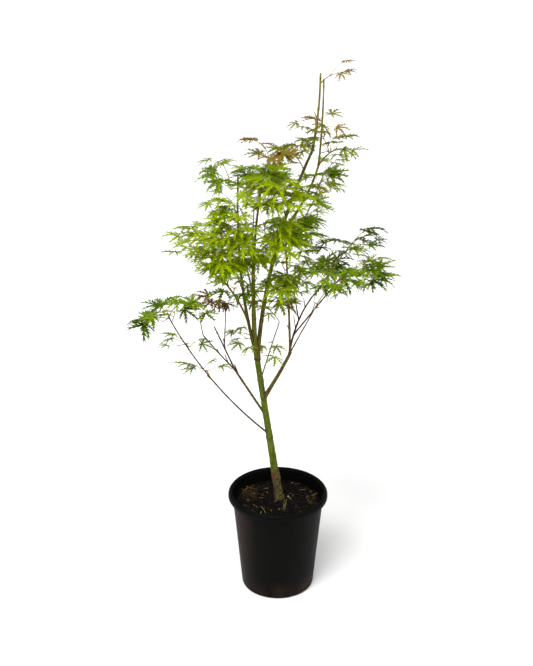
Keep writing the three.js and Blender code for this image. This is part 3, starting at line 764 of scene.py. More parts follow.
# %% [markdown]
# ## Bark
# Young maple bark is smooth and green, with brown rings where each year's or each pair's bud scales fell,
# brown streaks on older wood, and a rough grey-brown rootstock under the graft. Relief comes from the
# radius: rings stand proud, a collar widens each limb where it leaves its parent, and low lumps keep it from
# being a perfect rod. How brown and how rough each point is goes along as a field, and the material turns
# that into colour.

# %% Limb skins
def ring_places(length, gap, seed):
    """Distances of the bud-scale rings, about gap apart."""
    chance = np.random.default_rng(seed)
    steps = gap * chance.uniform(0.75, 1.3, int(length / gap) + 3)
    places = np.cumsum(steps)
    return places[places < length - 4]


def limb_skin(path, thick, sides, seed, gap, brown=0.15, trunk=False):
    """Centre + radius (cos a across + sin a over). Radius = taper * (1 + rings + buds + collar + lumps),
    with each ring a narrow bell exp(-(d/w)^2), and a pair of small buds beside it, a quarter turn from the
    pair below. The trunk also has its root flare, its graft's swelling and the cracks of the stock, and is
    cut level at the compost."""
    n = len(path["point"])
    s = np.linspace(0, path["length"], n)
    a = np.radians(np.linspace(0, 360, sides, endpoint=False))
    taper = mix(*thick, s / path["length"]) / 2
    rings = ring_places(path["length"], gap, seed)
    width = 1.0 + 0.16 * thick[0]
    bell = np.exp(-(((s[:, None] - rings[None, :]) / width) ** 2))
    swell = bell.sum(1)
    turn = np.radians(90 * np.arange(len(rings)) + 25)
    facing = (np.cos(a[None, None, :] - turn[None, :, None]) ** 2) ** 6
    bud_bell = np.exp(-(((s[:, None] - rings[None, :] - 0.5 * width) / (0.8 * width)) ** 2))
    buds = (bud_bell[:, :, None] * facing).sum(1)
    cos, sin = np.cos(a)[None, :, None], np.sin(a)[None, :, None]
    round_path = cos * path["across"][:, None] + sin * path["over"][:, None]
    surface = path["point"][:, None] + taper[:, None, None] * round_path
    fine = lumps(surface, 9.0, seed + 1) * 0.035 + lumps(surface, 22.0, seed + 2) * 0.03
    relief = 0.10 * swell[:, None] + 0.30 * buds * min(1.0, 3.2 / thick[0]) + fine
    collar = 0.0 if trunk else 0.55 * np.exp(-s / (1.3 * thick[0]))[:, None]
    radius = taper[:, None] * (1 + relief + collar)
    stock = np.zeros((n, sides))
    if trunk:
        edge = s[:, None] + 5 * lumps(surface, 24.0, 77) + 4 * np.cos(a)[None, :]
        stock = 1 - eased(edge, TRUNK["graft_height"], TRUNK["graft_height"] + TRUNK["stock_blend"])
        swelling = TRUNK["graft"] * np.exp(-(((s - TRUNK["graft_height"]) / TRUNK["graft_spread"]) ** 2))
        roots = 1 + 0.28 * np.cos(3 * a + 0.8)[None, :] + 0.16 * np.cos(5 * a + 2.0)[None, :]
        flare = TRUNK["flare"] * np.exp(-s / TRUNK["flare_height"])[:, None] * roots
        cracks = stock * (0.5 * lumps(surface * [1, 1, 0.35], 3.2, 78) + 0.35 * lumps(surface, 1.9, 79))
        radius = radius + flare + swelling[:, None] + 0.8 * cracks
        rough_edge = np.exp(-(((edge - TRUNK["graft_height"] - 11) / 12) ** 2))
    patches = eased(lumps(surface * [1, 1, 0.22], 7.0, seed + 3), 0.15, 0.9)
    ring_share = 0.5 if trunk else 0.85
    share = brown + (1 - brown) * np.clip(ring_share * eased(swell, 0.25, 0.9)[:, None] + 0.6 * buds, 0, 1)
    share = np.clip(share + 0.55 * patches * min(1.0, brown * 2 + 0.2), 0, 1)
    if trunk:
        right_side = eased(np.cos(a - 1.25), 0.86, 1.0)
        right_streak = 0.45 * right_side * eased(lumps(surface * [1, 1, 0.1], 9.0, 81), -0.8, 0.6)
        share = np.clip(share + right_streak + 0.8 * rough_edge, 0, 1)
    else:
        share = np.clip(share + 0.5 * np.exp(-s / 9.0)[:, None], 0, 1)
    points = path["point"][:, None] + radius[:, :, None] * round_path
    start, end = path["point"][0], path["point"][-1] + path["forward"][-1] * 0.35 * thick[1]
    if trunk:
        points[..., 2] = np.maximum(points[..., 2], TRUNK["seat"])
        start = np.array([*path["point"][0][:2], TRUNK["seat"]])
    return closed_skin(points, start, end, brown=share, stock=stock)


def bark_finish(name, skin_colour, streak, ring):
    """Skin colour, streaked by a grain drawn out along Z, ring colour where the brown field says, and
    grey-brown crackled stock where the stock field says."""
    f = Finish(name, Specular_IOR_Level=0.04)
    fibre = f.grain(Scale=260.0, Stretch=(1.0, 1.0, 0.12), Detail=5.0, Contrast=2.6)
    spot = f.grain(Scale=520.0, Stretch=(1.0, 1.0, 0.6), Detail=3.0, Contrast=6.0)
    crackle = f.grain(Scale=330.0, Stretch=(1.0, 1.0, 0.5), Detail=6.0, Contrast=4.0)
    green = f.patches(skin_colour, streak, fibre.outputs["Mask"])
    brown = f.patches(ring, tuple(0.5 * c for c in ring[:3]) + (1.0,), spot.outputs["Mask"])
    lenticels = f.maths("MULTIPLY", f.maths("SUBTRACT", spot.outputs["Mask"], 0.8), 1.5)
    both = f.patches(green, brown, f.field("brown"), rgb(150, 140, 96), lenticels)
    grey = f.patches(rgb(86, 80, 46), rgb(48, 33, 23), crackle.outputs["Mask"], rgb(138, 124, 88),
                     f.maths("SUBTRACT", spot.outputs["Mask"], 0.6))
    f.colour(f.patches(both, grey, f.field("stock")))
    f.roughness(crackle.outputs["Mask"], 0.42, 0.75)
    f.bump(crackle.outputs["Height"], 0.0012, 0.7)
    return f.material


RED = ("red_shoot", "purple_shoot", "right_red_bough", "right_red_shoot", "right_outer_bough",
       "low_left_bough", "low_left_side_shoot", "left_outer_bough", "left_inner_bough")
FORK = ("left_limb", "centre_limb", "right_limb")
UPPER = ("front_limb", "back_limb", "left_outer_limb", "inner_limb", "inner_leader",
         "right_leader", "thin_right_shoot", "right_upright")
BROWNER = {"right_bough": 0.5, "right_upright": 0.4, "left_bough": 0.5, "left_outer_limb": 0.6,
           "left_limb": 0.5, "right_under_bough": 0.7, "left_far_bough": 0.45, "right_limb": 0.45,
           "centre_limb": 0.25, "right_leader": 0.3, "inner_leader": 0.35, "inner_limb": 0.3,
           "thin_right_shoot": 0.35}
green_bark = bark_finish("green_bark", rgb(88, 114, 0), rgb(46, 68, 0), rgb(92, 56, 38))
fork_bark = bark_finish("fork_bark", rgb(112, 124, 22), rgb(72, 82, 10), rgb(90, 56, 36))
upper_bark = bark_finish("upper_bark", rgb(150, 152, 56), rgb(112, 118, 30), rgb(104, 68, 44))
red_bark = bark_finish("red_bark", rgb(98, 66, 48), rgb(64, 48, 24), rgb(66, 34, 30))
TRUNK_SKIN = dict(sides=40, seed=100, gap=118, brown=0.10)
piece("trunk_bark", limb_skin(paths["trunk"], TRUNK["thick"], **TRUNK_SKIN, trunk=True), green_bark,
      ["trunk"])
STOUT = 4.5  # a limb thicker than this has more sides
for i, limb in enumerate(LIMBS):
    name, thick = limb["name"], limb["thick"]
    sides, gap = 18 if thick[0] > STOUT else 12, 30 + 4 * thick[0]
    made = limb_skin(paths[name], thick, sides, 200 + 10 * i, gap, BROWNER.get(name, 0.2))
    kinds = ((RED, red_bark), (UPPER, upper_bark), (FORK, fork_bark))
    bark = next((kind for group, kind in kinds if name in group), green_bark)
    piece(name + "_bark", made, bark, [name])

# %% [markdown]
# ## Thin stems, all at once
# Spray stems, side twigs, leaf stalks and dead stubs are thin tubes by the hundred. One function makes them
# all together: arrays of centre lines go in, and one skin of four- to six-sided tubes comes out.

# %% Many tubes
SLANT = np.array([0.13, 0.21, 0.97])  # no stem runs exactly along it


def many_tubes(lines, radii, sides, **fields):
    """Lines (n, k, 3) and radii (n, k): centre + radius (cos a u + sin a v), where u is the tangent crossed
    with a fixed slanting direction and v completes the frame. Each tube is closed by a fan at both ends."""
    n, k = lines.shape[:2]
    tangent = np.gradient(lines, axis=1)
    tangent /= np.linalg.norm(tangent, axis=2, keepdims=True)
    u = np.cross(tangent, SLANT)
    u /= np.maximum(np.linalg.norm(u, axis=2, keepdims=True), 1e-6)
    v = np.cross(tangent, u)
    a = np.linspace(0, 2 * np.pi, sides, endpoint=False)
    rings = lines[:, :, None] + radii[:, :, None, None] * (
        np.cos(a)[:, None] * u[:, :, None] + np.sin(a)[:, None] * v[:, :, None])
    points = np.concatenate([rings.reshape(n, -1, 3), lines[:, :1], lines[:, -1:]], 1)
    one = closed_skin(np.zeros((k, sides, 3)), (0, 0, 0), (0, 0, 0))["faces"]
    faces = [(f[None] + points.shape[1] * np.arange(n)[:, None, None]).reshape(-1, f.shape[1]) for f in one]
    whole = {name: np.repeat(np.broadcast_to(value, (n,)), points.shape[1]) for name, value in fields.items()}
    return skin(points.reshape(-1, 3), faces, **whole)


# %% [markdown]
# ## Cut stubs and seedlings
# A nursery plant has been pruned: short dead stubs are left where side shoots were cut, brown and dark at
# the cut end. Each is a short tube at a stated distance along its limb.

# %% Stubs and seedlings
# Each stub: what it grows on and where along it, its length, rise, heading and thickness.
STUB_ROWS = """
left_bough 118 22 64 150 2.6
left_outer_bough 20 20 70 190 1.9
left_outer_bough 46 14 62 205 1.7
left_inner_bough 44 24 80 200 2.0
trunk 168 6 40 0 3.6
trunk 236 7 40 190 3.0
right_red_bough 52 26 82 170 1.7
right_red_bough 96 18 76 120 1.6
right_red_bough 72 14 50 -60 1.6
right_outer_bough 64 18 62 40 1.7
right_outer_bough 88 12 30 200 1.6
right_outer_bough 78 10 20 -40 1.6
right_upright 46 10 60 200 2.2
left_outer_limb 84 16 72 140 2.2
centre_limb 118 18 70 190 2.4
centre_limb 150 12 66 20 2.2
left_limb 112 18 68 40 2.4
right_limb 150 16 70 160 2.6
right_limb 290 18 76 150 2.2
right_limb 330 10 50 20 2.0
right_leader 60 14 66 190 1.8
inner_limb 70 12 60 200 1.8
right_bough 96 12 50 -60 2.4
"""
STUBS = read_rows(STUB_ROWS, ("on",), dict(on=1, at=1, length=1, rise=1, heading=1, thick=1))
t = np.linspace(0, 1, 6)[None, :, None]
root = np.array([frame_on(paths[b["on"]], b["at"])["point"] for b in STUBS])[:, None]
way = direction(np.array([b["rise"] for b in STUBS]), np.array([b["heading"] for b in STUBS]))[:, None]
reach = np.array([b["length"] for b in STUBS])[:, None, None]
half_thick = np.array([b["thick"] for b in STUBS])[:, None] / 2
stub_lines = root + way * reach * t + np.array([0, 0, 1]) * reach * 0.08 * t ** 2
stub_radii = half_thick * np.array([1.5, 1.12, 1.0, 1.12, 0.95, 0.8])
piece("cut_stubs", many_tubes(stub_lines, stub_radii, 8, tone=np.linspace(0, 1, len(STUBS))),
      bit_finish("dead_wood", rgb(48, 32, 26), rgb(96, 74, 52), 0.75))

seedlings = read_rows(SEEDLING_ROWS, (), dict(foot=2, tip=3))
foot = np.array([[*s["foot"], compost_height(*s["foot"]) - 1] for s in seedlings])[:, None]
tip = np.array([s["tip"] for s in seedlings])[:, None]
t = np.linspace(0, 1, SEEDLING["points"])[None, :, None]
seedling_lines = mix(foot, tip, t) + np.array([0, 0, 1]) * SEEDLING["bow"] * 4 * t * (1 - t)
seedling_radii = np.full(seedling_lines.shape[:2], SEEDLING["radius"])
piece("seedlings", many_tubes(seedling_lines, seedling_radii, 5, tone=np.linspace(0, 1, len(seedlings))),
      bit_finish("seedling", rgb(84, 88, 34), rgb(132, 130, 76), 0.6))

# %% [markdown]
# ## Where the leaves are
# The rule is the one that placed the solids: along the stem, pairs of leaves a quarter turn apart and one
# leaf at the tip, each on a stalk that rises, with its blade hanging. A leaf keeps to its own stem's space.
# The rule is then carried on to side twigs that leave beside a pair and bear a pair and an end leaf of their
# own, smaller ones.

# %% Growing the sprays
TWIG = dict(nodes=(0.35, 0.92), spread=20, forward=0.6, thick=(2.6, 1.7))
LEAF = dict(stalk=32, stalk_range=(0.8, 1.25), size_range=(1.12, 0.86), lift=(-5, 50), hang=(-20, 18),
            roll=25, tries=14, swing=(15, 5), shrink=0.02, shared=14, droop=0.34, middle=0.42, apart=0.36)
SIDE_TWIG = dict(length=(26, 44), steepest=(-0.3, 0.8), rise=(5, 30), droop=25, turn=20, steps=5,
                 splay=(0.6, 0.9), leaf=(0.72, 0.95), stalk=0.75, pair_at=0.78, end_at=0.97, seed=1000)
LONE_SEED = 3000
outline_turns = np.radians([-112, -84, -62, -40, -20, 0, 20, 40, 62, 84, 112])
outline_reach = np.array([0.25, 0.80, 0.3, 1.05, 0.3, 1.15, 0.3, 1.05, 0.3, 0.80, 0.25])
OUTLINE = np.stack([np.cos(outline_turns) * outline_reach, np.sin(outline_turns) * outline_reach], -1)
stem_from = np.array([s["point"][:-1] for s in stems.values()])
stem_to = np.array([s["point"][1:] for s in stems.values()])
stem_index = {name: i for i, name in enumerate(stems)}


def seeded(seed):
    """The same even numbers as the solids were grown with: state * 1664525 + 1013904223, kept to 32 bits."""
    state = [int(seed) * 7919]

    def draw():
        state[0] = (state[0] * 1664525 + 1013904223) % 2 ** 32
        return state[0] / 2 ** 32

    return draw


def distance_to_stems(points):
    """(points, stems) shortest distance from each point to each stem's steps."""
    along = stem_to - stem_from
    off = points[:, None, None] - stem_from[None]
    share = np.clip((off * along).sum(-1) / (along ** 2).sum(-1), 0, 1)[..., None]
    return np.linalg.norm(off - share * along, axis=-1).min(-1)


leaves, twig_lines = [], []
# How far past the box of the solids a leaf's tips may reach.
PAST_SOLIDS = np.array([[-18, -6, -6], [18, 6, 6]])
REACH = np.array(cad_box) / MM + PAST_SOLIDS


def grow_leaf(spray, node, heading, draw, share, tint, stalk_share=1.0):
    """Tries a few places for one leaf, and keeps the first whose blade lies in its own stem's space and
    whose middle isn't on top of another leaf's."""
    for i in range(LEAF["tries"]):
        size = spray["leaf"] * mix(*LEAF["size_range"], draw()) * (1 - LEAF["shrink"] * i) * share
        swing = LEAF["swing"][0] + LEAF["swing"][1] * i
        turn = heading + mix(-swing, swing, draw())
        stalk = direction(mix(*LEAF["lift"], draw()), turn)
        base = node + stalk * mix(*LEAF["stalk_range"], draw()) * LEAF["stalk"] * stalk_share
        forward = direction(-mix(*LEAF["hang"], draw()), turn)
        side = direction(0.0, turn + 90)
        roll = math.radians(mix(-LEAF["roll"], LEAF["roll"], draw()))
        up = np.cross(forward, side)
        normal = up * math.cos(roll) + np.cross(forward, up) * math.sin(roll)
        side = np.cross(normal, forward)
        tips = base + size * (OUTLINE[:, :1] * forward + OUTLINE[:, 1:] * side
                              - LEAF["droop"] * (OUTLINE ** 2).sum(1, keepdims=True) * normal)
        if (tips < REACH[0]).any() or (tips > REACH[1]).any():
            continue
        away = distance_to_stems(tips)
        own = away[:, stem_index[spray["name"]]]
        if (away.min(1) < own - 2 * LEAF["shared"]).any():
            continue
        middle = base + forward * size * LEAF["middle"]
        room = LEAF["apart"]
        if any(np.linalg.norm(middle - m["middle"]) < room * (size + m["size"]) * 0.5 for m in leaves):
            continue
        leaves.append(dict(spray=spray["name"], tint=tint, node=node, stalk=stalk, base=base, forward=forward,
                           normal=normal, side=side, size=size, middle=middle))
        return


def heading_of(v):
    return math.degrees(math.atan2(v[1], v[0]))


def grow_spray(spray):
    """Pairs along the stem, a quarter turn apart, one leaf at its end, then its side twigs beside some of
    the pairs."""
    draw, stem, pairs = seeded(spray["seed"]), stems[spray["name"]], int(spray["pairs"])
    later = []
    for pair in range(1, pairs + 1):
        node = frame_on(stem, stem["length"] * mix(*TWIG["nodes"], pair / pairs))
        spin = math.radians(90 * pair + mix(-TWIG["spread"], TWIG["spread"], draw()))
        for side in (1, -1):
            out = (node["across"] * math.cos(spin) * side + node["over"] * math.sin(spin) * side
                   + node["forward"] * TWIG["forward"])
            young = pair == pairs and pairs > 1
            grow_leaf(spray, node["point"], heading_of(out), draw, 1.0, spray["young" if young else "old"])
            later.append((node, out / np.linalg.norm(out)))
    end = frame_on(stem, stem["length"] - 3)
    grow_leaf(spray, end["point"], heading_of(end["forward"]), draw, 1.0, spray["young"])
    draw, wanted = seeded(spray["seed"] + SIDE_TWIG["seed"]), int(spray["side_twigs"])
    for node, out in later[:: max(1, len(later) // max(1, wanted))][:wanted]:
        length = mix(*SIDE_TWIG["length"], draw())
        slope = math.degrees(math.asin(np.clip(out[2], *SIDE_TWIG["steepest"])))
        rise = slope + mix(*SIDE_TWIG["rise"], draw())
        grow_twig(spray, node["point"], length, rise, heading_of(out), draw, spray["young"])


def grow_twig(spray, start, length, rise, heading, draw, tint, leaf_count=3):
    """A side twig that bends down, with an end leaf, and one or two leaves below it if there are to be
    more."""
    turned = heading + mix(-SIDE_TWIG["turn"], SIDE_TWIG["turn"], draw())
    twig = grow_path(start, length, (rise, rise - SIDE_TWIG["droop"]), (heading, turned), SIDE_TWIG["steps"])
    twig_lines.append(twig["point"])
    tip = frame_on(twig, length - 2)
    for side in (0, 90, -90)[:leaf_count]:
        where = frame_on(twig, length * SIDE_TWIG["pair_at" if side else "end_at"])
        facing = heading_of(tip["forward"]) + side * mix(*SIDE_TWIG["splay"], draw())
        share = mix(*SIDE_TWIG["leaf"], draw())
        grow_leaf(spray, where["point"], facing, draw, share, tint, SIDE_TWIG["stalk"])


# Lone twigs: the spray they count with, the limb they leave and where, their length, rise and
# heading, how many leaves they bear and of which tint.
LONE_TWIGS = """
left_low_spray left_limb 38 12 25 190 3 mid
left_low_spray left_limb 45 12 30 170 2 mid
left_low_spray left_limb 10 6 20 -120 2 bright
red_leaf_spray red_shoot 999 8 -30 200 2 red
low_centre_spray right_limb 108 16 0 -30 3 bright
right_inner_spray right_red_shoot 40 24 10 200 3 mid
right_mid_spray right_upright 205 30 -10 -60 3 bright
upper_left_spray left_limb 335 14 10 -160 2 mid
far_left_spray low_left_bough 345 14 -10 192 1 mid
far_left_spray low_left_bough 335 16 50 60 2 mid
low_left_side_spray low_left_bough 275 6 -5 20 1 mid
purple_spray purple_shoot 80 10 20 -120 2 bright
purple_spray purple_shoot 60 8 20 -60 1 bright
leader_left_spray right_leader 10 20 5 185 2 olive
leader_right_spray inner_limb 90 34 20 0 3 mid
leader_mid_spray inner_leader 22 26 20 10 3 olive
leader_mid_spray right_leader 40 18 20 190 2 olive
upper_left_spray left_limb 350 10 10 -60 2 mid
inner_high_spray left_limb 335 30 20 -20 3 mid
inner_high_spray left_limb 320 45 30 10 3 mid
left_high_spray left_limb 285 45 38 190 2 mid
right_far_spray right_outer_bough 999 56 -12 -2 3 deep
right_far_spray right_outer_bough 168 40 45 -10 3 mid
right_near_spray right_outer_bough 125 26 20 -20 3 mid
right_mid_spray right_upright 190 34 10 -20 3 bright
centre_low_spray right_upright 175 30 10 -10 3 bright
centre_low_spray right_upright 140 30 0 -30 3 bright
centre_low_spray right_upright 120 34 0 10 3 bright
centre_low_spray right_upright 150 30 10 200 3 bright
centre_low_spray right_upright 100 34 20 -20 3 bright
centre_low_spray right_upright 88 10 0 200 1 bright
centre_spray centre_limb 285 26 20 -130 3 olive
low_centre_spray centre_limb 215 30 20 -60 3 bright
low_centre_spray centre_limb 200 34 10 0 3 bright
low_centre_spray centre_limb 150 12 0 180 2 bright
low_centre_spray centre_limb 140 14 -10 0 2 bright
centre_left_spray centre_limb 270 12 0 200 2 mid
far_left_spray low_left_bough 345 52 12 184 3 deep
low_left_side_spray low_left_bough 280 12 5 190 1 mid
low_left_spray low_left_bough 215 4 0 60 1 bright
"""
lone = read_rows(LONE_TWIGS, ("name", "on", "tint"),
                 dict(name=1, on=1, at=1, length=1, rise=1, heading=1, count=1, tint=1))
for spray in SPRAYS:
    grow_spray(spray)
by_name = {spray["name"]: spray for spray in SPRAYS}
for i, twig in enumerate(lone):
    start = frame_on(paths[twig["on"]], twig["at"])["point"]
    grow_twig(by_name[twig["name"]], start, twig["length"], twig["rise"], twig["heading"],
              seeded(LONE_SEED + i), twig["tint"], int(twig["count"]))
print(len(leaves), "leaves on", len(stems), "stems and", len(twig_lines), "side twigs")

# %% [markdown]
# ## One leaf
# A cut-leaved maple's leaf is a hand of seven narrow lobes, each with teeth that point to its tip and a long
# drawn-out end. In a flat sheet each lobe is a rib with a narrow strip and four teeth on either side. One
# tooth is one five-cornered face: rib, notch, tooth, notch, rib. So a leaf has 70 faces. All leaves are then
# bent at once: lobes are folded up from their ribs, curve down towards their tips and turn a little aside,
# each by its own amounts.

# %% Leaf pattern
LOBE_TURNS = np.array([-122.0, -82, -41, 0, 41, 82, 122])
LOBE_REACH = np.array([0.50, 0.88, 1.16, 1.30, 1.16, 0.88, 0.50])
RIB_AT = np.array([0.0, 0.19, 0.35, 0.51, 0.68, 1.0])
NOTCH_OUT = np.array([0.012, 0.026, 0.032, 0.028, 0.018, 0.0])
TOOTH_AT = np.array([0.31, 0.48, 0.64, 0.82])
TOOTH_OUT = np.array([0.100, 0.140, 0.124, 0.074])
VARIES = dict(turn=4.5, reach=(0.86, 1.02), bend=0.10, arch=(0.4, 1.5), arch_by_lobe=0.25, most_arch=1.6,
              fold=(0.3, 1.0), widen=(0.85, 1.25))


def leaf_pattern():
    """For each corner: lobe, distance along the lobe and distance out from its rib, both as shares of the
    leaf, and the faces. A lobe has its rib points, then notch and tooth points on its left, then on its
    right."""
    teeth = len(TOOTH_AT)
    notches = teeth + 1
    along = np.concatenate([RIB_AT, RIB_AT[:-1], TOOTH_AT, RIB_AT[:-1], TOOTH_AT])
    out = np.concatenate([0 * RIB_AT, NOTCH_OUT[:-1], TOOTH_OUT, -NOTCH_OUT[:-1], -TOOTH_OUT])
    per_lobe = len(along)
    i = np.arange(teeth)
    left_notch, left_tooth, right_notch, right_tooth = len(RIB_AT) + np.cumsum([0, notches, teeth, notches])
    five = np.concatenate([
        np.stack([i, i + 1, left_notch + i + 1, left_tooth + i, left_notch + i], -1),
        np.stack([i, right_notch + i, right_tooth + i, right_notch + i + 1, i + 1], -1)])
    tip = np.array([[teeth, teeth + 1, left_notch + teeth], [teeth, right_notch + teeth, teeth + 1]])
    lobes = len(LOBE_TURNS)
    shift = per_lobe * np.arange(lobes)[:, None, None]
    faces = [(five[None] + shift).reshape(-1, 5), (tip[None] + shift).reshape(-1, 3)]
    return np.repeat(np.arange(lobes), per_lobe), np.tile(along, lobes), np.tile(out, lobes), faces


def leaf_skins(rows, seed, wilt=0.0):
    """Every leaf of the rows at once, as (leaf, corner) arrays. In a lobe's own frame a corner is at (along,
    out); out is scaled with the lobe, the lobe's line turns aside by bend * along^2 and rises by fold *
    |out|. Its slope down is arch * t^2, so it bends most near its tip; the sums of that slope's cosine and
    sine are taken from the first terms of their series: t - arch^2 t^5 / 10 outwards and arch t^3 / 3 -
    arch^3 t^7 / 42 down. The lobe's frame is then turned by its own angle in the leaf's plane."""
    chance = np.random.default_rng(seed)
    lobe, along, out, faces = leaf_pattern()
    n, lobes = len(rows), len(LOBE_TURNS)
    size = np.array([r["size"] for r in rows])[:, None]
    base, forward, side, normal = (np.array([r[k] for r in rows])[:, None] for k in
                                   ("base", "forward", "side", "normal"))
    turn = np.radians(LOBE_TURNS + chance.normal(0, VARIES["turn"], (n, lobes)))[:, lobe]
    reach = (LOBE_REACH * chance.uniform(*VARIES["reach"], (n, lobes)))[:, lobe]
    bend = chance.normal(0, VARIES["bend"], (n, lobes))[:, lobe]
    arch = chance.uniform(*VARIES["arch"], (n, 1)) + chance.normal(0, VARIES["arch_by_lobe"], (n, lobes))
    arch = np.clip(arch, 0.0, VARIES["most_arch"])[:, lobe] + wilt
    fold = chance.uniform(*VARIES["fold"], (n, 1))
    widen = chance.uniform(*VARIES["widen"], (n, 1))
    a = along * reach
    o = out * reach ** 0.5 * widen + bend * a ** 2
    fall = reach * (arch * along ** 3 / 3 - arch ** 3 * along ** 7 / 42)
    a = reach * (along - arch ** 2 * along ** 5 / 10)
    x = a * np.cos(turn) - o * np.sin(turn)
    y = a * np.sin(turn) + o * np.cos(turn)
    z = fold * np.abs(out) * widen - fall
    points = base + size[..., None] * (x[..., None] * forward + y[..., None] * side + z[..., None] * normal)
    corners = len(lobe)
    every = [(f[None] + corners * np.arange(n)[:, None, None]).reshape(-1, f.shape[1]) for f in faces]
    rib = np.tile(np.clip(1 - np.abs(out) / 0.05, 0, 1), n)
    return skin(points.reshape(-1, 3), every, rib=rib)


# %% [markdown]
# ## Leaf colours
# The crown isn't one green, and its tints are partly painted light and shade: sprays that look lit are a
# bright yellow-green, which is also given to low sprays that lie in the crown's shade, those on the right are
# darker, and the youngest leaves come out bronze. Each tint is one plain colour, dealt out by spray, with
# darker patches of painted shade, a little unevenness of tissue and a paler rib. The underside is paler.

# %% Tints
def leaf_finish(name, upper, shade, under):
    f = Finish(name, Specular_IOR_Level=0.06, Roughness=0.45)
    tissue_and_shade = f.grain(Scale=48.0, Detail=6.0, Contrast=3.4)
    rib = tuple(min(1, 1.35 * c) for c in upper[:3]) + (1.0,)
    # The darker shade colour, laid in soft patches by this grain, is painted shade.
    face = f.patches(upper, shade, tissue_and_shade.outputs["Mask"], rib, f.maths("MULTIPLY", f.field("rib"), 0.45))
    side = node_in(f.tree, "ShaderNodeNewGeometry").outputs["Backfacing"]
    f.colour(f.patches(face, under, side))
    f.bump(tissue_and_shade.outputs["Height"], 0.0008, 0.5)
    return f.material


# Each tint: its upper colour, a darker shade colour laid in patches as painted shade, and its underside. The
# bright tint is partly painted light: it is also given to low sprays that lie in the crown's shade.
TINTS = {
    "bright": (rgb(150, 168, 4), rgb(80, 114, 0), rgb(162, 176, 24)),
    "mid": (rgb(118, 142, 0), rgb(60, 90, 0), rgb(134, 148, 20)),
    "deep": (rgb(70, 98, 0), rgb(36, 56, 0), rgb(102, 118, 20)),
    "olive": (rgb(112, 116, 10), rgb(82, 86, 4), rgb(132, 130, 30)),
    "bronze": (rgb(132, 106, 36), rgb(104, 84, 22), rgb(142, 120, 56)),
    "red": (rgb(106, 70, 32), rgb(78, 56, 12), rgb(122, 92, 48)),
}
LEAF_SEED, WILT = 500, dict(red=0.5)
for i, (tint, colours) in enumerate(TINTS.items()):
    rows = [leaf for leaf in leaves if leaf["tint"] == tint]
    nodes = [s["name"] for s in SPRAYS if s["old"] == tint]
    made = leaf_skins(rows, LEAF_SEED + i, WILT.get(tint, 0.0))
    piece(tint + "_leaves", made, leaf_finish("leaf_" + tint, *colours), nodes)

# %% [markdown]
# ## Stems and stalks
# A leaf stalk is two to four centimetres long, thinner than a match, and arches up from its node before it
# reaches the blade. It is a quadratic curve from the stem to the foot of the blade. Stems and side twigs
# taper evenly, but for a few small swellings on the stems.

# %% Stalks and stems
STALK_RADII = np.array([0.95, 0.62, 0.52, 0.48, 0.46, 0.48, 0.55])
# A stem swells a little in three places.
KNOTS = dict(at=(0.54, 0.73, 0.92), height=0.22, width=0.03)


def stalk_skins(rows):
    """(1-t)^2 node + 2t(1-t) knee + t^2 foot, with the knee lifted above the straight line."""
    t = np.linspace(0, 1, len(STALK_RADII))[None, :, None]
    node, foot = (np.array([r[k] for r in rows])[:, None] for k in ("node", "base"))
    span = np.linalg.norm(foot - node, axis=-1, keepdims=True)
    knee = mix(node, foot, 0.55) + np.array([0, 0, 1]) * 0.16 * span
    lines = (1 - t) ** 2 * node + 2 * t * (1 - t) * knee + t ** 2 * foot
    radii = np.broadcast_to(STALK_RADII, (len(rows), len(STALK_RADII)))
    return many_tubes(lines, radii, 4, tone=np.random.default_rng(9).uniform(0, 1, len(rows)))


def stem_skins():
    """Each spray's stem, as thick at first as the end of the limb that it carries on, and all side twigs."""
    lines = np.array([stems[spray["name"]]["point"] for spray in SPRAYS])
    limb_end = {limb["name"]: limb["thick"][1] for limb in LIMBS}
    at_tip = [spray["at"] == TIP for spray in SPRAYS]
    first = [limb_end[spray["on"]] if end else TWIG["thick"][0] for spray, end in zip(SPRAYS, at_tip)]
    t = np.linspace(0, 1, lines.shape[1])[None]
    off = np.abs(t[..., None] - np.array(KNOTS["at"])) / KNOTS["width"]
    knots = 1 + KNOTS["height"] * np.exp(-off ** 2).sum(-1)
    radii = mix(np.array(first)[:, None] / 2, TWIG["thick"][1] / 2, t) * knots
    main = many_tubes(lines, radii, 6, tone=np.linspace(0, 1, len(lines)))
    side = np.array(twig_lines)
    t = np.linspace(0, 1, side.shape[1])[None]
    side_radii = np.broadcast_to(mix(0.95, 0.65, t), side.shape[:2])
    return joined([main, many_tubes(side, side_radii, 5, tone=np.linspace(1, 0, len(side)))])


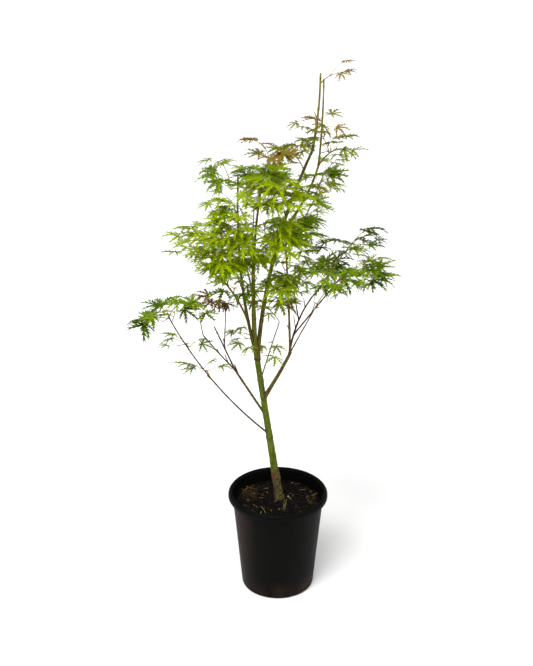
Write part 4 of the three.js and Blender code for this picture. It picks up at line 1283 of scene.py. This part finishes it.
young_stem = bit_finish("young_stem", rgb(92, 104, 28), rgb(136, 112, 48), 0.5)
piece("spray_stems", stem_skins(), young_stem, [s["name"] for s in SPRAYS])
leaf_stalk = bit_finish("leaf_stalk", rgb(132, 140, 40), rgb(160, 128, 60), 0.45)
piece("leaf_stalks", stalk_skins(leaves), leaf_stalk)

# %% [markdown]
# ## Floor and light
# The plant stands on a plain pale floor in an even white room, with one large soft lamp high at the front
# left and a weaker one at the front right, as for a picture on a white ground: shapes read by soft shading,
# and shadows stay faint. The room shows white behind the plant, and lights it at half that strength.

# %% Studio
# Each lamp: its rise and heading as seen from the plant, its power, and how wide it looks, in degrees.
LAMPS = dict(key=(58, -120, 2.8, 34), fill=(45, -30, 0.9, 90))
FLOOR_HALF = 14.0  # metres


def studio():
    scene = bpy.context.scene
    world = bpy.data.worlds.new("room")
    world.use_nodes = True
    room = world.node_tree.nodes["Background"]
    room.inputs["Color"].default_value = (1.0, 1.0, 1.0, 1.0)
    seen = node_in(world.node_tree, "ShaderNodeLightPath").outputs["Is Camera Ray"]
    level = node_in(world.node_tree, "ShaderNodeMapRange", {"Value": seen, "To Min": 0.5, "To Max": 1.0})
    world.node_tree.links.new(level.outputs["Result"], room.inputs["Strength"])
    scene.world = world
    scene.view_settings.view_transform = "Standard"
    floor_mesh = bpy.data.meshes.new("floor")
    r = FLOOR_HALF
    floor_mesh.from_pydata([(-r, -r, 0), (r, -r, 0), (r, r, 0), (-r, r, 0)], [], [(0, 1, 2, 3)])
    floor = bpy.data.objects.new("floor", floor_mesh)
    scene.collection.objects.link(floor)
    f = Finish("floor", Roughness=0.9, Specular_IOR_Level=0.0)
    cloud = f.grain(Scale=0.6, Detail=2.0, Contrast=1.0)
    f.colour(f.patches((0.93, 0.93, 0.93, 1.0), (0.95, 0.95, 0.95, 1.0), cloud.outputs["Mask"]))
    floor_mesh.materials.append(f.material)
    for name, (rise, heading, power, spread) in LAMPS.items():
        lamp = bpy.data.lights.new(name, "SUN")
        lamp.energy, lamp.angle = power, math.radians(spread)
        held = bpy.data.objects.new(name, lamp)
        held.rotation_euler = (math.radians(90 - rise), 0, math.radians(heading + 90))
        scene.collection.objects.link(held)


studio()
